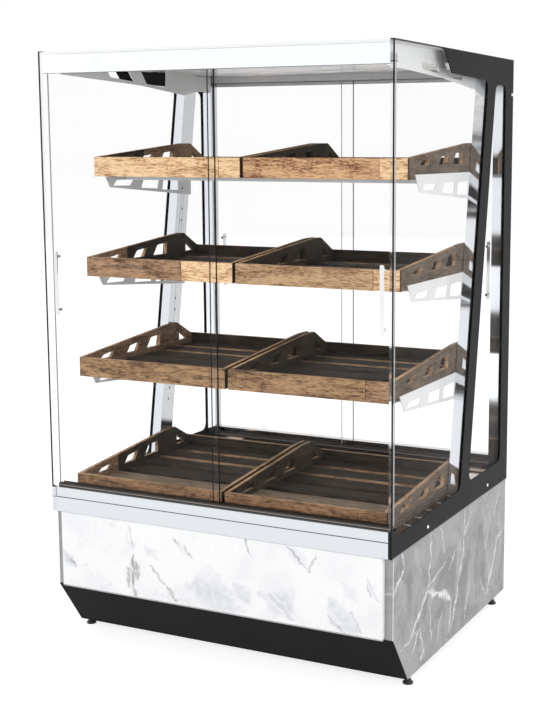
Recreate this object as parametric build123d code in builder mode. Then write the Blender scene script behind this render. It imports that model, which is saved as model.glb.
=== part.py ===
from build123d import *
from math import radians, tan
import os

os.makedirs("parts", exist_ok=True)

# Overall size of the case
case_width = 900
case_depth = 760
case_height = 1415

# Heights above the floor
foot_height = 20
kick_height = 139
base_height = 325
profile_rise = 59
deck_drop = 22
header_strip = 50
lower_shelf_rise = 284
shelf_pitch = 240

profile_height = base_height + profile_rise
deck_height = profile_height - deck_drop
header_height = case_height - header_strip
lower_shelf_height = deck_height + lower_shelf_rise
middle_shelf_height = lower_shelf_height + shelf_pitch
upper_shelf_height = middle_shelf_height + shelf_pitch

# Sheet, glass and board thicknesses
sheet = 2
glass = 6
pane = 8
board = 20
front_board = 18
trim = 1.5

# Clearances
rest_gap = 0.3
joint_gap = 0.5
shaft_clearance = 0.05
screw_clearance = 0.3

# Screws through the side frames, and the sides of small round parts and holes
screw_head_diameter = 8
screw_head_height = 1.5
screw_head_taper = 25
screw_shank_diameter = 4
small_round_sides = 12
foot_sides = 20

# Planes shared by the pieces
front_y = -case_depth / 2
back_y = case_depth / 2
frame_outer_x = case_width / 2 - screw_head_height
pane_outer_x = frame_outer_x - sheet
pane_inner_x = pane_outer_x - pane
roof_top = case_height - trim
roof_underside = roof_top - sheet

# Marble base
front_board_setback = 1
front_board_edge = 1
front_board_proud = 14
panel_inset = 3
kick_inset = 97
panel_outer_x = frame_outer_x - panel_inset
panel_inner_x = panel_outer_x - board
panel_front_y = front_y + front_board_proud
kick_foot_y = front_y + kick_inset

# Sliding tracks: three walls and two grooves
track_wall = 2
groove = glass + 2
track_width = 3 * track_wall + 2 * groove
track_lip = 8
guide_depth = 18
guide_bite = 10
door_overlap = 22
rear_door_overlap = 39
door_edge_gap = 1.5
pane_corner = 2

# Counter profiles
front_profile_depth = 35
profile_step = 35
profile_step_setback = 2
rear_profile_depth = 58
rear_step_drop = 12
rear_lip_depth = 24
rear_lip_height = 18
rear_track_setback = 8
rear_step_height = profile_height - rear_step_drop

front_profile_back_y = front_y + front_profile_depth
rear_profile_front_y = back_y - rear_profile_depth
front_track_y = front_profile_back_y - track_width
rear_track_y = rear_profile_front_y + rear_track_setback

# Leaning front uprights, their foot placed from the middle of the case, and straight rear uprights
lean_angle = 9.4
upright_depth = 57
upright_foot_y = 26.3
upright_wall = 2
upright_width = 24.5
upright_inner_x = pane_inner_x - upright_width
rear_upright_depth = 34
frame_radius = 20
rear_bar_depth = 58

# Ceiling
ceiling_drop = 25.5
ceiling_height = roof_top - ceiling_drop
arm_thickness = 2
arm_inner_x = upright_inner_x - arm_thickness

# Wooden trays
tray_depth = 500
tray_gap = 8
tray_side_gap = 2
tray_width = upright_inner_x - tray_side_gap - tray_gap / 2
tray_wall = 10
tray_front_height = 47
tray_back_height = 44
tray_peak_height = 80
tray_peak_start = 374
tray_peak_end = 421
tray_slope_end = 488
tray_front_offset = 379
deck_tray_setback = 18
deck_tray_front_y = front_profile_back_y + deck_tray_setback
slat_count = 6
slat_width = 62
slat_thickness = 12
slat_lift = 6

# Handles
handle_length = 150
handle_width = 9
handle_thickness = 3
handle_reach = 13
handle_post = 7
handle_post_inset = 12
handle_corner = 2
handle_rise = 517
handle_centre_z = deck_height + handle_rise
handle_edge = 20

shelf_heights = {
    "lower": lower_shelf_height,
    "middle": middle_shelf_height,
    "upper": upper_shelf_height,
}


def lean_y(z):
    """Front face of the leaning upright at height z."""
    return upright_foot_y + (z - deck_height) * tan(radians(lean_angle))


def shelf_front_y(z):
    """Front of the trays on a shelf at height z, which follows the leaning uprights."""
    return lean_y(z) - tray_front_offset


def save(piece, label):
    """Name one finished piece and write it out."""
    piece.part.label = label
    export_step(piece.part, f"parts/{label}.step")


# Base: marble boards, kick panel, frame and feet
def side_panel(side):
    """Marble board of one side, with the sloped front corner over the kick."""
    with BuildPart() as panel:
        with BuildSketch(Plane.YZ.offset(side * panel_inner_x)):
            with BuildLine():
                Polyline(
                    (panel_front_y, base_height),
                    (panel_front_y, kick_height),
                    (kick_foot_y, foot_height),
                    (back_y, foot_height),
                    (back_y, base_height),
                    close=True,
                )
            make_face()
        extrude(amount=side * board)
        with Locations(*[(side * foot_x, y, foot_height) for y in foot_ys]):
            add(stem_hole.part, mode=Mode.SUBTRACT)
    return panel


foot_x = panel_inner_x + board / 2
foot_front_inset = 25
foot_back_inset = 70
foot_ys = (kick_foot_y + foot_front_inset, back_y - foot_back_inset)
foot_diameter = 24
foot_disc_height = 9
foot_disc_bevel = 4
foot_bevel_angle = 50
foot_neck_diameter = 14
foot_stem_diameter = 8
foot_stem_length = 18

with BuildPart() as stem_hole:
    with BuildSketch():
        RegularPolygon(foot_stem_diameter / 2 + screw_clearance, small_round_sides)
    extrude(amount=foot_stem_length + joint_gap)

save(side_panel(-1), "side_panel_left")
save(side_panel(1), "side_panel_right")

front_board_half = panel_inner_x - joint_gap
with BuildPart() as front_panel:
    with BuildSketch(Plane.XY.offset(kick_height)):
        with Locations((0, front_y + front_board_setback + front_board / 2)):
            Rectangle(2 * front_board_half, front_board)
    extrude(amount=base_height - kick_height)
    chamfer(front_panel.faces().sort_by(Axis.Y)[0].edges(), length=front_board_edge)
save(front_panel, "front_panel")

kick_fold = 24
with BuildPart() as kick_panel:
    with BuildSketch(Plane.YZ.offset(-panel_outer_x)):
        with BuildLine():
            Polyline(
                (panel_front_y, kick_height),
                (kick_foot_y, foot_height),
                (kick_foot_y - sheet, foot_height),
                (panel_front_y - sheet, kick_height),
                close=True,
            )
        make_face()
    extrude(amount=2 * panel_outer_x)
    with BuildSketch(Plane.YZ.offset(-front_board_half)):
        with BuildLine():
            Polyline(
                (kick_foot_y - sheet, foot_height),
                (kick_foot_y + kick_fold, foot_height),
                (kick_foot_y + kick_fold, foot_height + sheet),
                (kick_foot_y - 2 * sheet, foot_height + sheet),
                close=True,
            )
        make_face()
    extrude(amount=2 * front_board_half)
save(kick_panel, "kick_panel")

# Welded base frame of steel angle, its top leg level and its other leg hanging down
channel = 30
channel_wall = 3
frame_front_y = kick_foot_y + kick_fold
frame_back_inset = 18
frame_back_y = back_y - frame_back_inset
frame_middle_y = (frame_front_y + frame_back_y) / 2
compressor_inset = 290
compressor_y = back_y - compressor_inset
compressor_rail_spread = 170
cross_ys = (
    frame_front_y + channel / 2,
    compressor_y - compressor_rail_spread / 2,
    compressor_y + compressor_rail_spread / 2,
    frame_back_y - channel / 2,
)
leg_offset = (channel - channel_wall) / 2
leg_ys = (
    cross_ys[0] - leg_offset,
    cross_ys[1] + leg_offset,
    cross_ys[2] - leg_offset,
    cross_ys[3] + leg_offset,
)

with BuildPart() as base_frame:
    with BuildSketch(Plane.XY.offset(foot_height + channel - channel_wall)):
        for side in (-1, 1):
            with Locations((side * (panel_inner_x - channel / 2), frame_middle_y)):
                Rectangle(channel, frame_back_y - frame_front_y)
        with Locations(*[(0, y) for y in cross_ys]):
            Rectangle(2 * panel_inner_x - channel, channel)
    extrude(amount=channel_wall)
    with BuildSketch(Plane.XY.offset(foot_height)):
        for side in (-1, 1):
            with Locations((side * (panel_inner_x - channel_wall / 2), frame_middle_y)):
                Rectangle(channel_wall, frame_back_y - frame_front_y)
        with Locations(*[(0, y) for y in leg_ys]):
            Rectangle(2 * panel_inner_x - channel_wall, channel_wall)
    extrude(amount=channel - channel_wall)
save(base_frame, "base_frame")

with BuildPart() as foot:
    with BuildSketch():
        RegularPolygon(foot_diameter / 2, foot_sides)
    extrude(amount=foot_disc_height - foot_disc_bevel)
    with BuildSketch(Plane.XY.offset(foot_disc_height - foot_disc_bevel)):
        RegularPolygon(foot_diameter / 2, foot_sides)
    extrude(amount=foot_disc_bevel, taper=foot_bevel_angle)
    with BuildSketch():
        RegularPolygon(foot_neck_diameter / 2, foot_sides)
    extrude(amount=foot_height)
    with BuildSketch(Plane.XY.offset(foot_height)):
        RegularPolygon(foot_stem_diameter / 2, small_round_sides)
    extrude(amount=foot_stem_length)

with BuildPart() as levelling_feet:
    with Locations(*[(side * foot_x, y, 0) for side in (-1, 1) for y in foot_ys]):
        add(foot.part)
save(levelling_feet, "levelling_feet")

# Louvred service panel that closes the machine space at the back
back_panel_inset = 4
back_panel_y = back_y - back_panel_inset
louvre_length = 92
louvre_height = 5
louvre_lift = 3
louvre_pitch_x = 104
louvre_pitch_z = 16
louvre_columns = 3
louvre_rows = 10
louvre_rise = 130
louvre_centre_z = foot_height + louvre_rise
inlet_inset = 95
inlet_rise = 70
inlet_x = front_board_half - inlet_inset
inlet_z = foot_height + inlet_rise
inlet_width = 48
inlet_height = 30
inlet_body_width = 32
inlet_body_height = 22
inlet_depth = 24
inlet_wall = 3
inlet_base = 4
pin_width = 2
pin_height = 4
pin_length = 12
pin_spread = 7
pin_rise = 3
pin_bite = 1

with BuildPart() as back_panel:
    with BuildSketch(Plane.XZ.offset(-back_panel_y)):
        with Locations((0, (foot_height + base_height) / 2)):
            Rectangle(2 * front_board_half, base_height - foot_height)
        with Locations((0, louvre_centre_z)):
            with GridLocations(louvre_pitch_x, louvre_pitch_z, louvre_columns, louvre_rows):
                Rectangle(louvre_length, louvre_height, mode=Mode.SUBTRACT)
        with Locations((inlet_x, inlet_z)):
            Rectangle(
                inlet_body_width + 2 * joint_gap,
                inlet_body_height + 2 * joint_gap,
                mode=Mode.SUBTRACT,
            )
    extrude(amount=sheet)
    with BuildSketch(Plane.XZ.offset(-back_panel_y)):
        with Locations((0, louvre_centre_z + (louvre_height + sheet) / 2)):
            with GridLocations(louvre_pitch_x, louvre_pitch_z, louvre_columns, louvre_rows):
                Rectangle(louvre_length, sheet)
    extrude(amount=-louvre_lift)
save(back_panel, "back_panel")

# Mains inlet in the service panel
with BuildPart() as power_inlet:
    with BuildSketch(Plane.XZ.offset(-back_panel_y)):
        with Locations((inlet_x, inlet_z)):
            Rectangle(inlet_width, inlet_height)
    extrude(amount=-sheet)
    with BuildSketch(Plane.XZ.offset(-back_panel_y)):
        with Locations((inlet_x, inlet_z)):
            Rectangle(inlet_body_width, inlet_body_height)
    extrude(amount=inlet_depth)
    with BuildSketch(Plane.XZ.offset(-back_panel_y - sheet)):
        with Locations((inlet_x, inlet_z)):
            Rectangle(inlet_body_width - 2 * inlet_wall, inlet_body_height - 2 * inlet_wall)
    extrude(amount=inlet_depth - inlet_base, mode=Mode.SUBTRACT)
    with BuildSketch(Plane.XZ.offset(-back_panel_y + inlet_depth - inlet_base + pin_bite)):
        with Locations(
            (inlet_x - pin_spread, inlet_z),
            (inlet_x, inlet_z + pin_rise),
            (inlet_x + pin_spread, inlet_z),
        ):
            Rectangle(pin_width, pin_height)
    extrude(amount=-pin_length)
save(power_inlet, "power_inlet")

# Insulated well under the deck
well_wall = 30
well_depth = 145
well_top = deck_height - sheet
well_bottom = well_top - well_depth
well_floor = well_bottom + well_wall
well_front_y = front_profile_back_y
well_back_y = rear_profile_front_y

with BuildPart() as cooling_well:
    with BuildSketch(Plane.XY.offset(well_bottom)):
        with Locations((0, (well_front_y + well_back_y) / 2)):
            Rectangle(2 * panel_inner_x, well_back_y - well_front_y)
    extrude(amount=well_top - well_bottom)
    with BuildSketch(Plane.XY.offset(well_floor)):
        with Locations((0, (well_front_y + well_back_y) / 2)):
            Rectangle(
                2 * (panel_inner_x - well_wall),
                well_back_y - well_front_y - 2 * well_wall,
            )
    extrude(amount=well_top - well_floor, mode=Mode.SUBTRACT)
save(cooling_well, "cooling_well")

# Polished deck with air slots round the trays
vent_pitch = 67
vent_count = 6
vent_front_margin = 105
vent_first_y = well_front_y + vent_front_margin
side_vent_x = (upright_inner_x + pane_inner_x) / 2
side_vent_length = 20
side_vent_width = 6
edge_vent_length = 54
edge_vent_width = 7
edge_vent_pitch = 66
edge_vent_end = 10
edge_vent_count = int(2 * (upright_inner_x - edge_vent_end) / edge_vent_pitch)
edge_vent_margin = 9
return_vent_rows = 2
return_vent_pitch = 24
return_vent_margin = 72
return_vent_y = well_back_y - return_vent_margin

with BuildPart() as deck:
    with BuildSketch(Plane.XY.offset(well_top)):
        with Locations((0, (well_front_y + well_back_y) / 2)):
            Rectangle(2 * pane_inner_x, well_back_y - well_front_y)
        vent_ys = [vent_first_y + vent_pitch * step for step in range(vent_count)]
        with Locations(*[(s * side_vent_x, y) for s in (-1, 1) for y in vent_ys]):
            Rectangle(side_vent_length, side_vent_width, mode=Mode.SUBTRACT)
        with Locations((0, well_front_y + edge_vent_margin)):
            with GridLocations(edge_vent_pitch, 1, edge_vent_count, 1):
                Rectangle(edge_vent_length, edge_vent_width, mode=Mode.SUBTRACT)
        with Locations((0, return_vent_y)):
            with GridLocations(edge_vent_pitch, return_vent_pitch, edge_vent_count, return_vent_rows):
                Rectangle(edge_vent_length, edge_vent_width, mode=Mode.SUBTRACT)
    extrude(amount=sheet)
save(deck, "deck")


# Counter profiles that carry the sliding tracks
front_profile_outline = (
    (front_y, base_height),
    (front_y, base_height + profile_step),
    (front_y + profile_step_setback, base_height + profile_step),
    (front_y + profile_step_setback, profile_height),
    (front_profile_back_y, profile_height),
    (front_profile_back_y, base_height),
)
front_profile_hollow = (
    (front_y + 2 * sheet, base_height + sheet),
    (front_y + 2 * sheet, profile_height - sheet),
    (front_profile_back_y - sheet, profile_height - sheet),
    (front_profile_back_y - sheet, base_height + sheet),
)
rear_lip_y = back_y - rear_lip_depth
rear_lip_top = rear_step_height + rear_lip_height
rear_profile_outline = (
    (rear_profile_front_y, base_height),
    (rear_profile_front_y, rear_step_height),
    (rear_lip_y, rear_step_height),
    (rear_lip_y, rear_lip_top),
    (back_y, rear_lip_top),
    (back_y, base_height),
)
rear_profile_hollow = (
    (rear_profile_front_y + sheet, base_height + sheet),
    (rear_profile_front_y + sheet, rear_step_height - sheet),
    (rear_lip_y + sheet, rear_step_height - sheet),
    (rear_lip_y + sheet, rear_lip_top - sheet),
    (back_y - sheet, rear_lip_top - sheet),
    (back_y - sheet, base_height + sheet),
)


def hollow_profile(outline, hollow):
    """A folded profile between the side panes, open at both ends."""
    with BuildPart() as profile:
        with BuildSketch(Plane.YZ.offset(-pane_inner_x)):
            with BuildLine():
                Polyline(*outline, close=True)
            make_face()
            with BuildLine():
                Polyline(*hollow, close=True)
            make_face(mode=Mode.SUBTRACT)
        extrude(amount=2 * pane_inner_x)
    return profile


save(hollow_profile(front_profile_outline, front_profile_hollow), "front_profile")
save(hollow_profile(rear_profile_outline, rear_profile_hollow), "rear_profile")


def track(y_start, base_z, depth, half_length):
    """Double track for sliding glass: positive depth stands up, negative hangs down."""
    direction = 1 if depth > 0 else -1
    with BuildPart() as rail:
        with BuildSketch(Plane.YZ.offset(-half_length)):
            with Locations((y_start + track_width / 2, base_z + depth / 2)):
                Rectangle(track_width, abs(depth))
            for index in (0, 1):
                groove_y = y_start + track_wall + index * (groove + track_wall) + groove / 2
                with Locations((groove_y, base_z + (depth + direction * track_wall) / 2)):
                    Rectangle(groove, abs(depth) - track_wall, mode=Mode.SUBTRACT)
        extrude(amount=2 * half_length)
    return rail


rear_track_half = upright_inner_x
save(track(front_track_y, profile_height, track_lip, pane_inner_x), "front_track_lower")
save(track(front_track_y, ceiling_height, -guide_depth, pane_inner_x), "front_track_upper")
save(track(rear_track_y, rear_step_height, track_lip, rear_track_half), "rear_track_lower")
save(track(rear_track_y, ceiling_height, -guide_depth, arm_inner_x), "rear_track_upper")


# Side panes, black frame plates, edge trims and screws
low_screw_rise = 19
low_screw_z = base_height + low_screw_rise
front_screw_inset = 202
middle_screw_inset = 153
rear_screw_inset = 9
rear_screw_drop = 37
screw_places = (
    (front_y + front_screw_inset, low_screw_z),
    (back_y - middle_screw_inset, low_screw_z),
    (back_y - rear_screw_inset, header_height - rear_screw_drop),
)
hole_radius = screw_shank_diameter / 2 + screw_clearance


def side_glass(side):
    """Clear side pane from the marble to the roof."""
    with BuildPart() as sheet_glass:
        with BuildSketch(Plane.YZ.offset(side * pane_inner_x)):
            with BuildLine():
                Polyline(
                    (front_y + trim, base_height),
                    (front_y + trim, roof_top),
                    (back_y, roof_top),
                    (back_y, base_height),
                    close=True,
                )
            make_face()
            with Locations(*screw_places):
                RegularPolygon(hole_radius, small_round_sides, mode=Mode.SUBTRACT)
        extrude(amount=side * pane)
    return sheet_glass


band_rise = 18
band_start_rise = 27
band_end_rise = 8
band_chamfer_length = 39
top_band_reach = 304.5
top_band_slope = 48
top_band_turn_drop = 4
top_band_drop = 10
window_rise = 24
window_drop = 17
band_top = deck_height + band_rise
band_chamfer_start = (front_y + trim, deck_height + band_start_rise)
band_chamfer_end = (front_y + band_chamfer_length, deck_height + band_end_rise)
top_band_front = (lean_y(roof_top) - top_band_reach, roof_top)
top_band_turn = (top_band_front[0] + top_band_slope, header_height - top_band_turn_drop)
top_band_bottom = header_height - top_band_drop
window_bottom = deck_height + window_rise
window_top = header_height - window_drop
window_rear_y = back_y - rear_bar_depth


def side_frame(side):
    """Black frame plate: bottom band, leaning bar, rear bar and top band."""
    bar_foot = (lean_y(band_top), band_top)
    bar_head = (lean_y(top_band_bottom), top_band_bottom)
    with BuildPart() as plate:
        with BuildSketch(Plane.YZ.offset(side * pane_outer_x)) as outline:
            with BuildLine():
                Polyline(
                    (front_y + trim, base_height),
                    band_chamfer_start,
                    band_chamfer_end,
                    bar_foot,
                    bar_head,
                    top_band_turn,
                    top_band_front,
                    (back_y, roof_top),
                    (back_y, base_height),
                    close=True,
                )
            make_face()
            corners = [outline.vertices().sort_by_distance(p)[0] for p in (bar_foot, bar_head)]
            fillet(corners, radius=frame_radius)
            with BuildLine():
                FilletPolyline(
                    (lean_y(window_bottom) + upright_depth, window_bottom),
                    (window_rear_y, window_bottom),
                    (window_rear_y, window_top),
                    (lean_y(window_top) + upright_depth, window_top),
                    radius=frame_radius,
                    close=True,
                )
            make_face(mode=Mode.SUBTRACT)
            with Locations(*screw_places):
                RegularPolygon(hole_radius, small_round_sides, mode=Mode.SUBTRACT)
        extrude(amount=side * sheet)
    return plate


for side, name in ((-1, "left"), (1, "right")):
    save(side_glass(side), f"side_glass_{name}")
    save(side_frame(side), f"side_frame_{name}")

with BuildPart() as edge_trims:
    for side in (-1, 1):
        with BuildSketch(Plane.YZ.offset(side * pane_inner_x)):
            with BuildLine():
                Polyline(
                    (front_y, base_height),
                    (front_y, case_height),
                    (back_y, case_height),
                    (back_y, roof_top),
                    (front_y + trim, roof_top),
                    (front_y + trim, base_height),
                    close=True,
                )
            make_face()
        extrude(amount=side * (pane + sheet))
save(edge_trims, "edge_trims")

with BuildPart() as frame_screws:
    for side in (-1, 1):
        with BuildSketch(Plane.YZ.offset(side * pane_inner_x)):
            with Locations(*screw_places):
                RegularPolygon(screw_shank_diameter / 2, small_round_sides)
        extrude(amount=side * (pane + sheet))
        with BuildSketch(Plane.YZ.offset(side * frame_outer_x)):
            with Locations(*screw_places):
                RegularPolygon(screw_head_diameter / 2, small_round_sides)
        extrude(amount=side * screw_head_height, taper=screw_head_taper)
save(frame_screws, "frame_screws")


# Uprights of folded box section
peg_hole_diameter = 6
peg_hole_drops = (95, 125)


def front_upright(side):
    """Leaning box upright that carries the shelf brackets."""
    foot, head = deck_height, roof_underside
    with BuildPart() as post:
        with BuildSketch(Plane.YZ.offset(side * upright_inner_x)):
            with BuildLine():
                Polyline(
                    (lean_y(foot), foot),
                    (lean_y(foot) + upright_depth, foot),
                    (lean_y(head) + upright_depth, head),
                    (lean_y(head), head),
                    close=True,
                )
            make_face()
        extrude(amount=side * upright_width)
        with BuildSketch(Plane.YZ.offset(side * (upright_inner_x + upright_wall))):
            with BuildLine():
                Polyline(
                    (lean_y(foot) + upright_wall, foot),
                    (lean_y(foot) + upright_depth - upright_wall, foot),
                    (lean_y(head) + upright_depth - upright_wall, head),
                    (lean_y(head) + upright_wall, head),
                    close=True,
                )
            make_face()
        extrude(amount=side * (upright_width - 2 * upright_wall), mode=Mode.SUBTRACT)
        holes = [
            (lean_y(z - drop) + upright_depth / 2, z - drop)
            for z in shelf_heights.values()
            for drop in peg_hole_drops
        ]
        with BuildSketch(Plane.YZ.offset(side * upright_inner_x)):
            with Locations(*holes):
                RegularPolygon(peg_hole_diameter / 2, small_round_sides)
        extrude(amount=side * upright_wall, mode=Mode.SUBTRACT)
    return post


def rear_upright(side):
    """Straight box upright beside the rear doors."""
    centre = (
        side * (upright_inner_x + upright_width / 2),
        rear_profile_front_y + rear_upright_depth / 2,
    )
    with BuildPart() as post:
        with BuildSketch(Plane.XY.offset(rear_step_height)):
            with Locations(centre):
                Rectangle(upright_width, rear_upright_depth)
                Rectangle(
                    upright_width - 2 * upright_wall,
                    rear_upright_depth - 2 * upright_wall,
                    mode=Mode.SUBTRACT,
                )
        extrude(amount=roof_underside - rear_step_height)
    return post


# Pierced arms that carry the ceiling from the front uprights
arm_front_y = front_profile_back_y + joint_gap
arm_front_drop = 47.5
arm_bend = (322.5, 59.5)
arm_low = (528.5, 77.5)
arm_end_drop = 65.5
arm_windows = (
    ((94, 36), (106, 50), (156, 52), (144, 36)),
    ((214, 32), (272, 32), (294, 50), (232, 48)),
    ((332, 32), (440, 32), (438, 58), (354, 54)),
)
arm_bolts = ((463, 62), (513, 61))
arm_bolt_diameter = 6


def roof_arm(side):
    """Pierced side plate; its points are run behind its front and drop below the roof."""

    def place(run, drop):
        return arm_front_y + run, roof_underside - drop

    end_y = lean_y(roof_underside - arm_low[1]) + upright_depth
    with BuildPart() as arm:
        with BuildSketch(Plane.YZ.offset(side * arm_inner_x)):
            with BuildLine():
                Polyline(
                    place(0, arm_front_drop),
                    place(*arm_bend),
                    place(*arm_low),
                    (end_y, roof_underside - arm_end_drop),
                    (end_y, roof_underside),
                    place(0, 0),
                    close=True,
                )
            make_face()
            for window in arm_windows:
                with BuildLine():
                    Polyline(*[place(*point) for point in window], close=True)
                make_face(mode=Mode.SUBTRACT)
            with Locations(*[place(*point) for point in arm_bolts]):
                RegularPolygon(arm_bolt_diameter / 2, small_round_sides, mode=Mode.SUBTRACT)
        extrude(amount=side * arm_thickness)
    return arm


for side, name in ((-1, "left"), (1, "right")):
    save(front_upright(side), f"front_upright_{name}")
    save(rear_upright(side), f"rear_upright_{name}")
    save(roof_arm(side), f"roof_arm_{name}")

# Header strip, roof, ceiling and lamp
cap_height = 6
header_return = 10
with BuildPart() as header_front:
    with BuildSketch(Plane.YZ.offset(-pane_inner_x)):
        with BuildLine():
            Polyline(
                (front_y, header_height),
                (front_y, roof_top - cap_height - joint_gap),
                (front_y + sheet, roof_top - cap_height - joint_gap),
                (front_y + sheet, header_height + sheet),
                (front_y + header_return, header_height + sheet),
                (front_y + header_return, header_height),
                close=True,
            )
        make_face()
    extrude(amount=2 * pane_inner_x)
save(header_front, "header_front")

rear_skirt_height = 50
with BuildPart() as roof_panel:
    with BuildSketch(Plane.YZ.offset(-pane_inner_x)):
        with BuildLine():
            Polyline(
                (front_y, roof_top),
                (back_y, roof_top),
                (back_y, roof_top - rear_skirt_height),
                (back_y - sheet, roof_top - rear_skirt_height),
                (back_y - sheet, roof_underside),
                (front_y + sheet, roof_underside),
                (front_y + sheet, roof_top - cap_height),
                (front_y, roof_top - cap_height),
                close=True,
            )
        make_face()
    extrude(amount=2 * pane_inner_x)
save(roof_panel, "roof_panel")

with BuildPart() as ceiling_plate:
    with BuildSketch(Plane.XY.offset(ceiling_height)):
        with Locations((0, 0)):
            Rectangle(2 * arm_inner_x, case_depth - 2 * sheet)
    extrude(amount=sheet)
save(ceiling_plate, "ceiling_plate")

lamp_end_gap = 22
lamp_half = arm_inner_x - lamp_end_gap
lamp_depth = 20
lamp_height = 12
diffuser_height = 4
diffuser_margin = 1
diffuser_radius = 3
lamp_setback = 14
lamp_y = front_profile_back_y + lamp_setback
with BuildPart() as lamp_housing:
    with BuildSketch(Plane.XY.offset(ceiling_height - lamp_height)):
        with Locations((0, lamp_y)):
            Rectangle(2 * lamp_half, lamp_depth)
    extrude(amount=lamp_height)
save(lamp_housing, "lamp_housing")

with BuildPart() as lamp_diffuser:
    with BuildSketch(Plane.XY.offset(ceiling_height - lamp_height - diffuser_height)):
        with Locations((0, lamp_y)):
            Rectangle(2 * lamp_half, lamp_depth - 2 * diffuser_margin)
    extrude(amount=diffuser_height)
    fillet(lamp_diffuser.faces().sort_by(Axis.Z)[0].edges().filter_by(Axis.X), radius=diffuser_radius)
save(lamp_diffuser, "lamp_diffuser")


# Sliding glass doors and their handles
def groove_centre(track_y, index):
    """Middle of a track groove, counted from the front."""
    return track_y + track_wall + groove / 2 + index * (groove + track_wall)


def door(x_low, x_high, y_centre, z_low):
    """A sliding pane with eased edges."""
    z_high = ceiling_height - guide_depth + guide_bite
    with BuildPart() as leaf:
        with BuildSketch(Plane.XZ.offset(-y_centre - glass / 2)) as outline:
            with Locations(((x_low + x_high) / 2, (z_low + z_high) / 2)):
                Rectangle(x_high - x_low, z_high - z_low)
            chamfer(outline.vertices(), length=pane_corner)
        extrude(amount=glass)
    return leaf


def handle(x_centre, y_glass, out):
    """Flat bar on two posts; out is the way it stands off the glass along Y."""
    low = handle_centre_z - handle_length / 2
    post_z = (low + handle_post_inset, low + handle_length - handle_post_inset)
    with BuildPart() as bar:
        with BuildSketch(Plane.XZ.offset(-y_glass)):
            with Locations(*[(x_centre, z) for z in post_z]):
                RegularPolygon(handle_post / 2, small_round_sides)
        extrude(amount=-out * handle_reach)
        with BuildSketch(Plane.XZ.offset(-y_glass - out * handle_reach)) as face:
            with Locations((x_centre, handle_centre_z)):
                Rectangle(handle_width, handle_length)
            chamfer(face.vertices(), length=handle_corner)
        extrude(amount=-out * handle_thickness)
    return bar


front_door_edge = pane_inner_x - door_edge_gap
rear_door_edge = upright_inner_x - door_edge_gap
front_outer_y = groove_centre(front_track_y, 0)
front_inner_y = groove_centre(front_track_y, 1)
rear_inner_y = groove_centre(rear_track_y, 0)
rear_outer_y = groove_centre(rear_track_y, 1)
front_door_bottom = profile_height + track_wall + rest_gap
rear_door_bottom = rear_step_height + track_wall + rest_gap
half_overlap = door_overlap / 2
rear_half_overlap = rear_door_overlap / 2

save(
    door(-front_door_edge, half_overlap, front_outer_y, front_door_bottom),
    "front_door_left",
)
save(
    door(-half_overlap, front_door_edge, front_inner_y, front_door_bottom),
    "front_door_right",
)
save(
    door(-rear_door_edge, rear_half_overlap, rear_inner_y, rear_door_bottom),
    "rear_door_left",
)
save(
    door(-rear_half_overlap, rear_door_edge, rear_outer_y, rear_door_bottom),
    "rear_door_right",
)

front_handle_x = front_door_edge - handle_edge
rear_handle_x = rear_door_edge - handle_edge
save(handle(-front_handle_x, front_outer_y - glass / 2, -1), "front_handle_left")
save(handle(front_handle_x, front_inner_y - glass / 2, -1), "front_handle_right")
save(handle(-rear_handle_x, rear_inner_y + glass / 2, 1), "rear_handle_left")
save(handle(rear_handle_x, rear_outer_y + glass / 2, 1), "rear_handle_right")

# Shelf brackets and rails
bracket_thickness = 1.5
bracket_plate_x = upright_inner_x - bracket_thickness
bracket_lip = 11
bracket_flange = 16.5
bracket_drop = 28
bracket_tip = 38
bracket_tip_low = 64
bracket_flange_start = 46
bracket_slope = 0.0825
bracket_windows = (
    ((93, -11), (165, -11), (150, -26), (79, -24)),
    ((211, -11), (281, -11), (274, -37), (200, -33)),
    ((303, -11), (372, -11), (372, -44), (296, -40)),
)
rail_depth = 25
rail_height = 10
rail_offsets = (120, 398)


def bracket_bottom(run):
    """Lower edge of a bracket at a distance behind the tray front."""
    return -bracket_drop - (run - bracket_tip_low) * bracket_slope


def shelf_bracket(side, z):
    """Pierced sheet bracket: lip outside the tray, flange under it."""
    y = shelf_front_y(z)
    top = z - rest_gap
    end = tray_front_offset + upright_depth
    with BuildPart() as bracket:
        with BuildSketch(Plane.YZ.offset(side * bracket_plate_x)):
            with BuildLine():
                Polyline(
                    (y + bracket_tip, z + bracket_lip),
                    (y + bracket_tip_low, z - bracket_drop),
                    (y + end, z + bracket_bottom(end)),
                    (y + end, z + bracket_lip),
                    close=True,
                )
            make_face()
            for window in bracket_windows:
                with BuildLine():
                    Polyline(*[(y + a, z + b) for a, b in window], close=True)
                make_face(mode=Mode.SUBTRACT)
        extrude(amount=side * bracket_thickness)
        with BuildSketch(Plane.XY.offset(top - sheet)):
            with BuildLine():
                Polyline(
                    (side * bracket_plate_x, y + bracket_flange_start),
                    (side * bracket_plate_x, y + end),
                    (side * (bracket_plate_x - bracket_flange), y + end),
                    (side * (bracket_plate_x - bracket_flange), y + bracket_flange_start),
                    close=True,
                )
            make_face()
        extrude(amount=sheet)
    return bracket


for side, name in ((-1, "left"), (1, "right")):
    brackets = [shelf_bracket(side, z).part for z in shelf_heights.values()]
    with BuildPart() as bracket_set:
        add(brackets)
    save(bracket_set, f"shelf_brackets_{name}")

with BuildPart() as shelf_rails:
    for z in shelf_heights.values():
        with BuildSketch(Plane.XY.offset(z - rest_gap - rail_height)):
            with Locations(*[(0, shelf_front_y(z) + offset) for offset in rail_offsets]):
                Rectangle(2 * (bracket_plate_x - bracket_flange), rail_depth)
        extrude(amount=rail_height)
save(shelf_rails, "shelf_rails")

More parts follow.
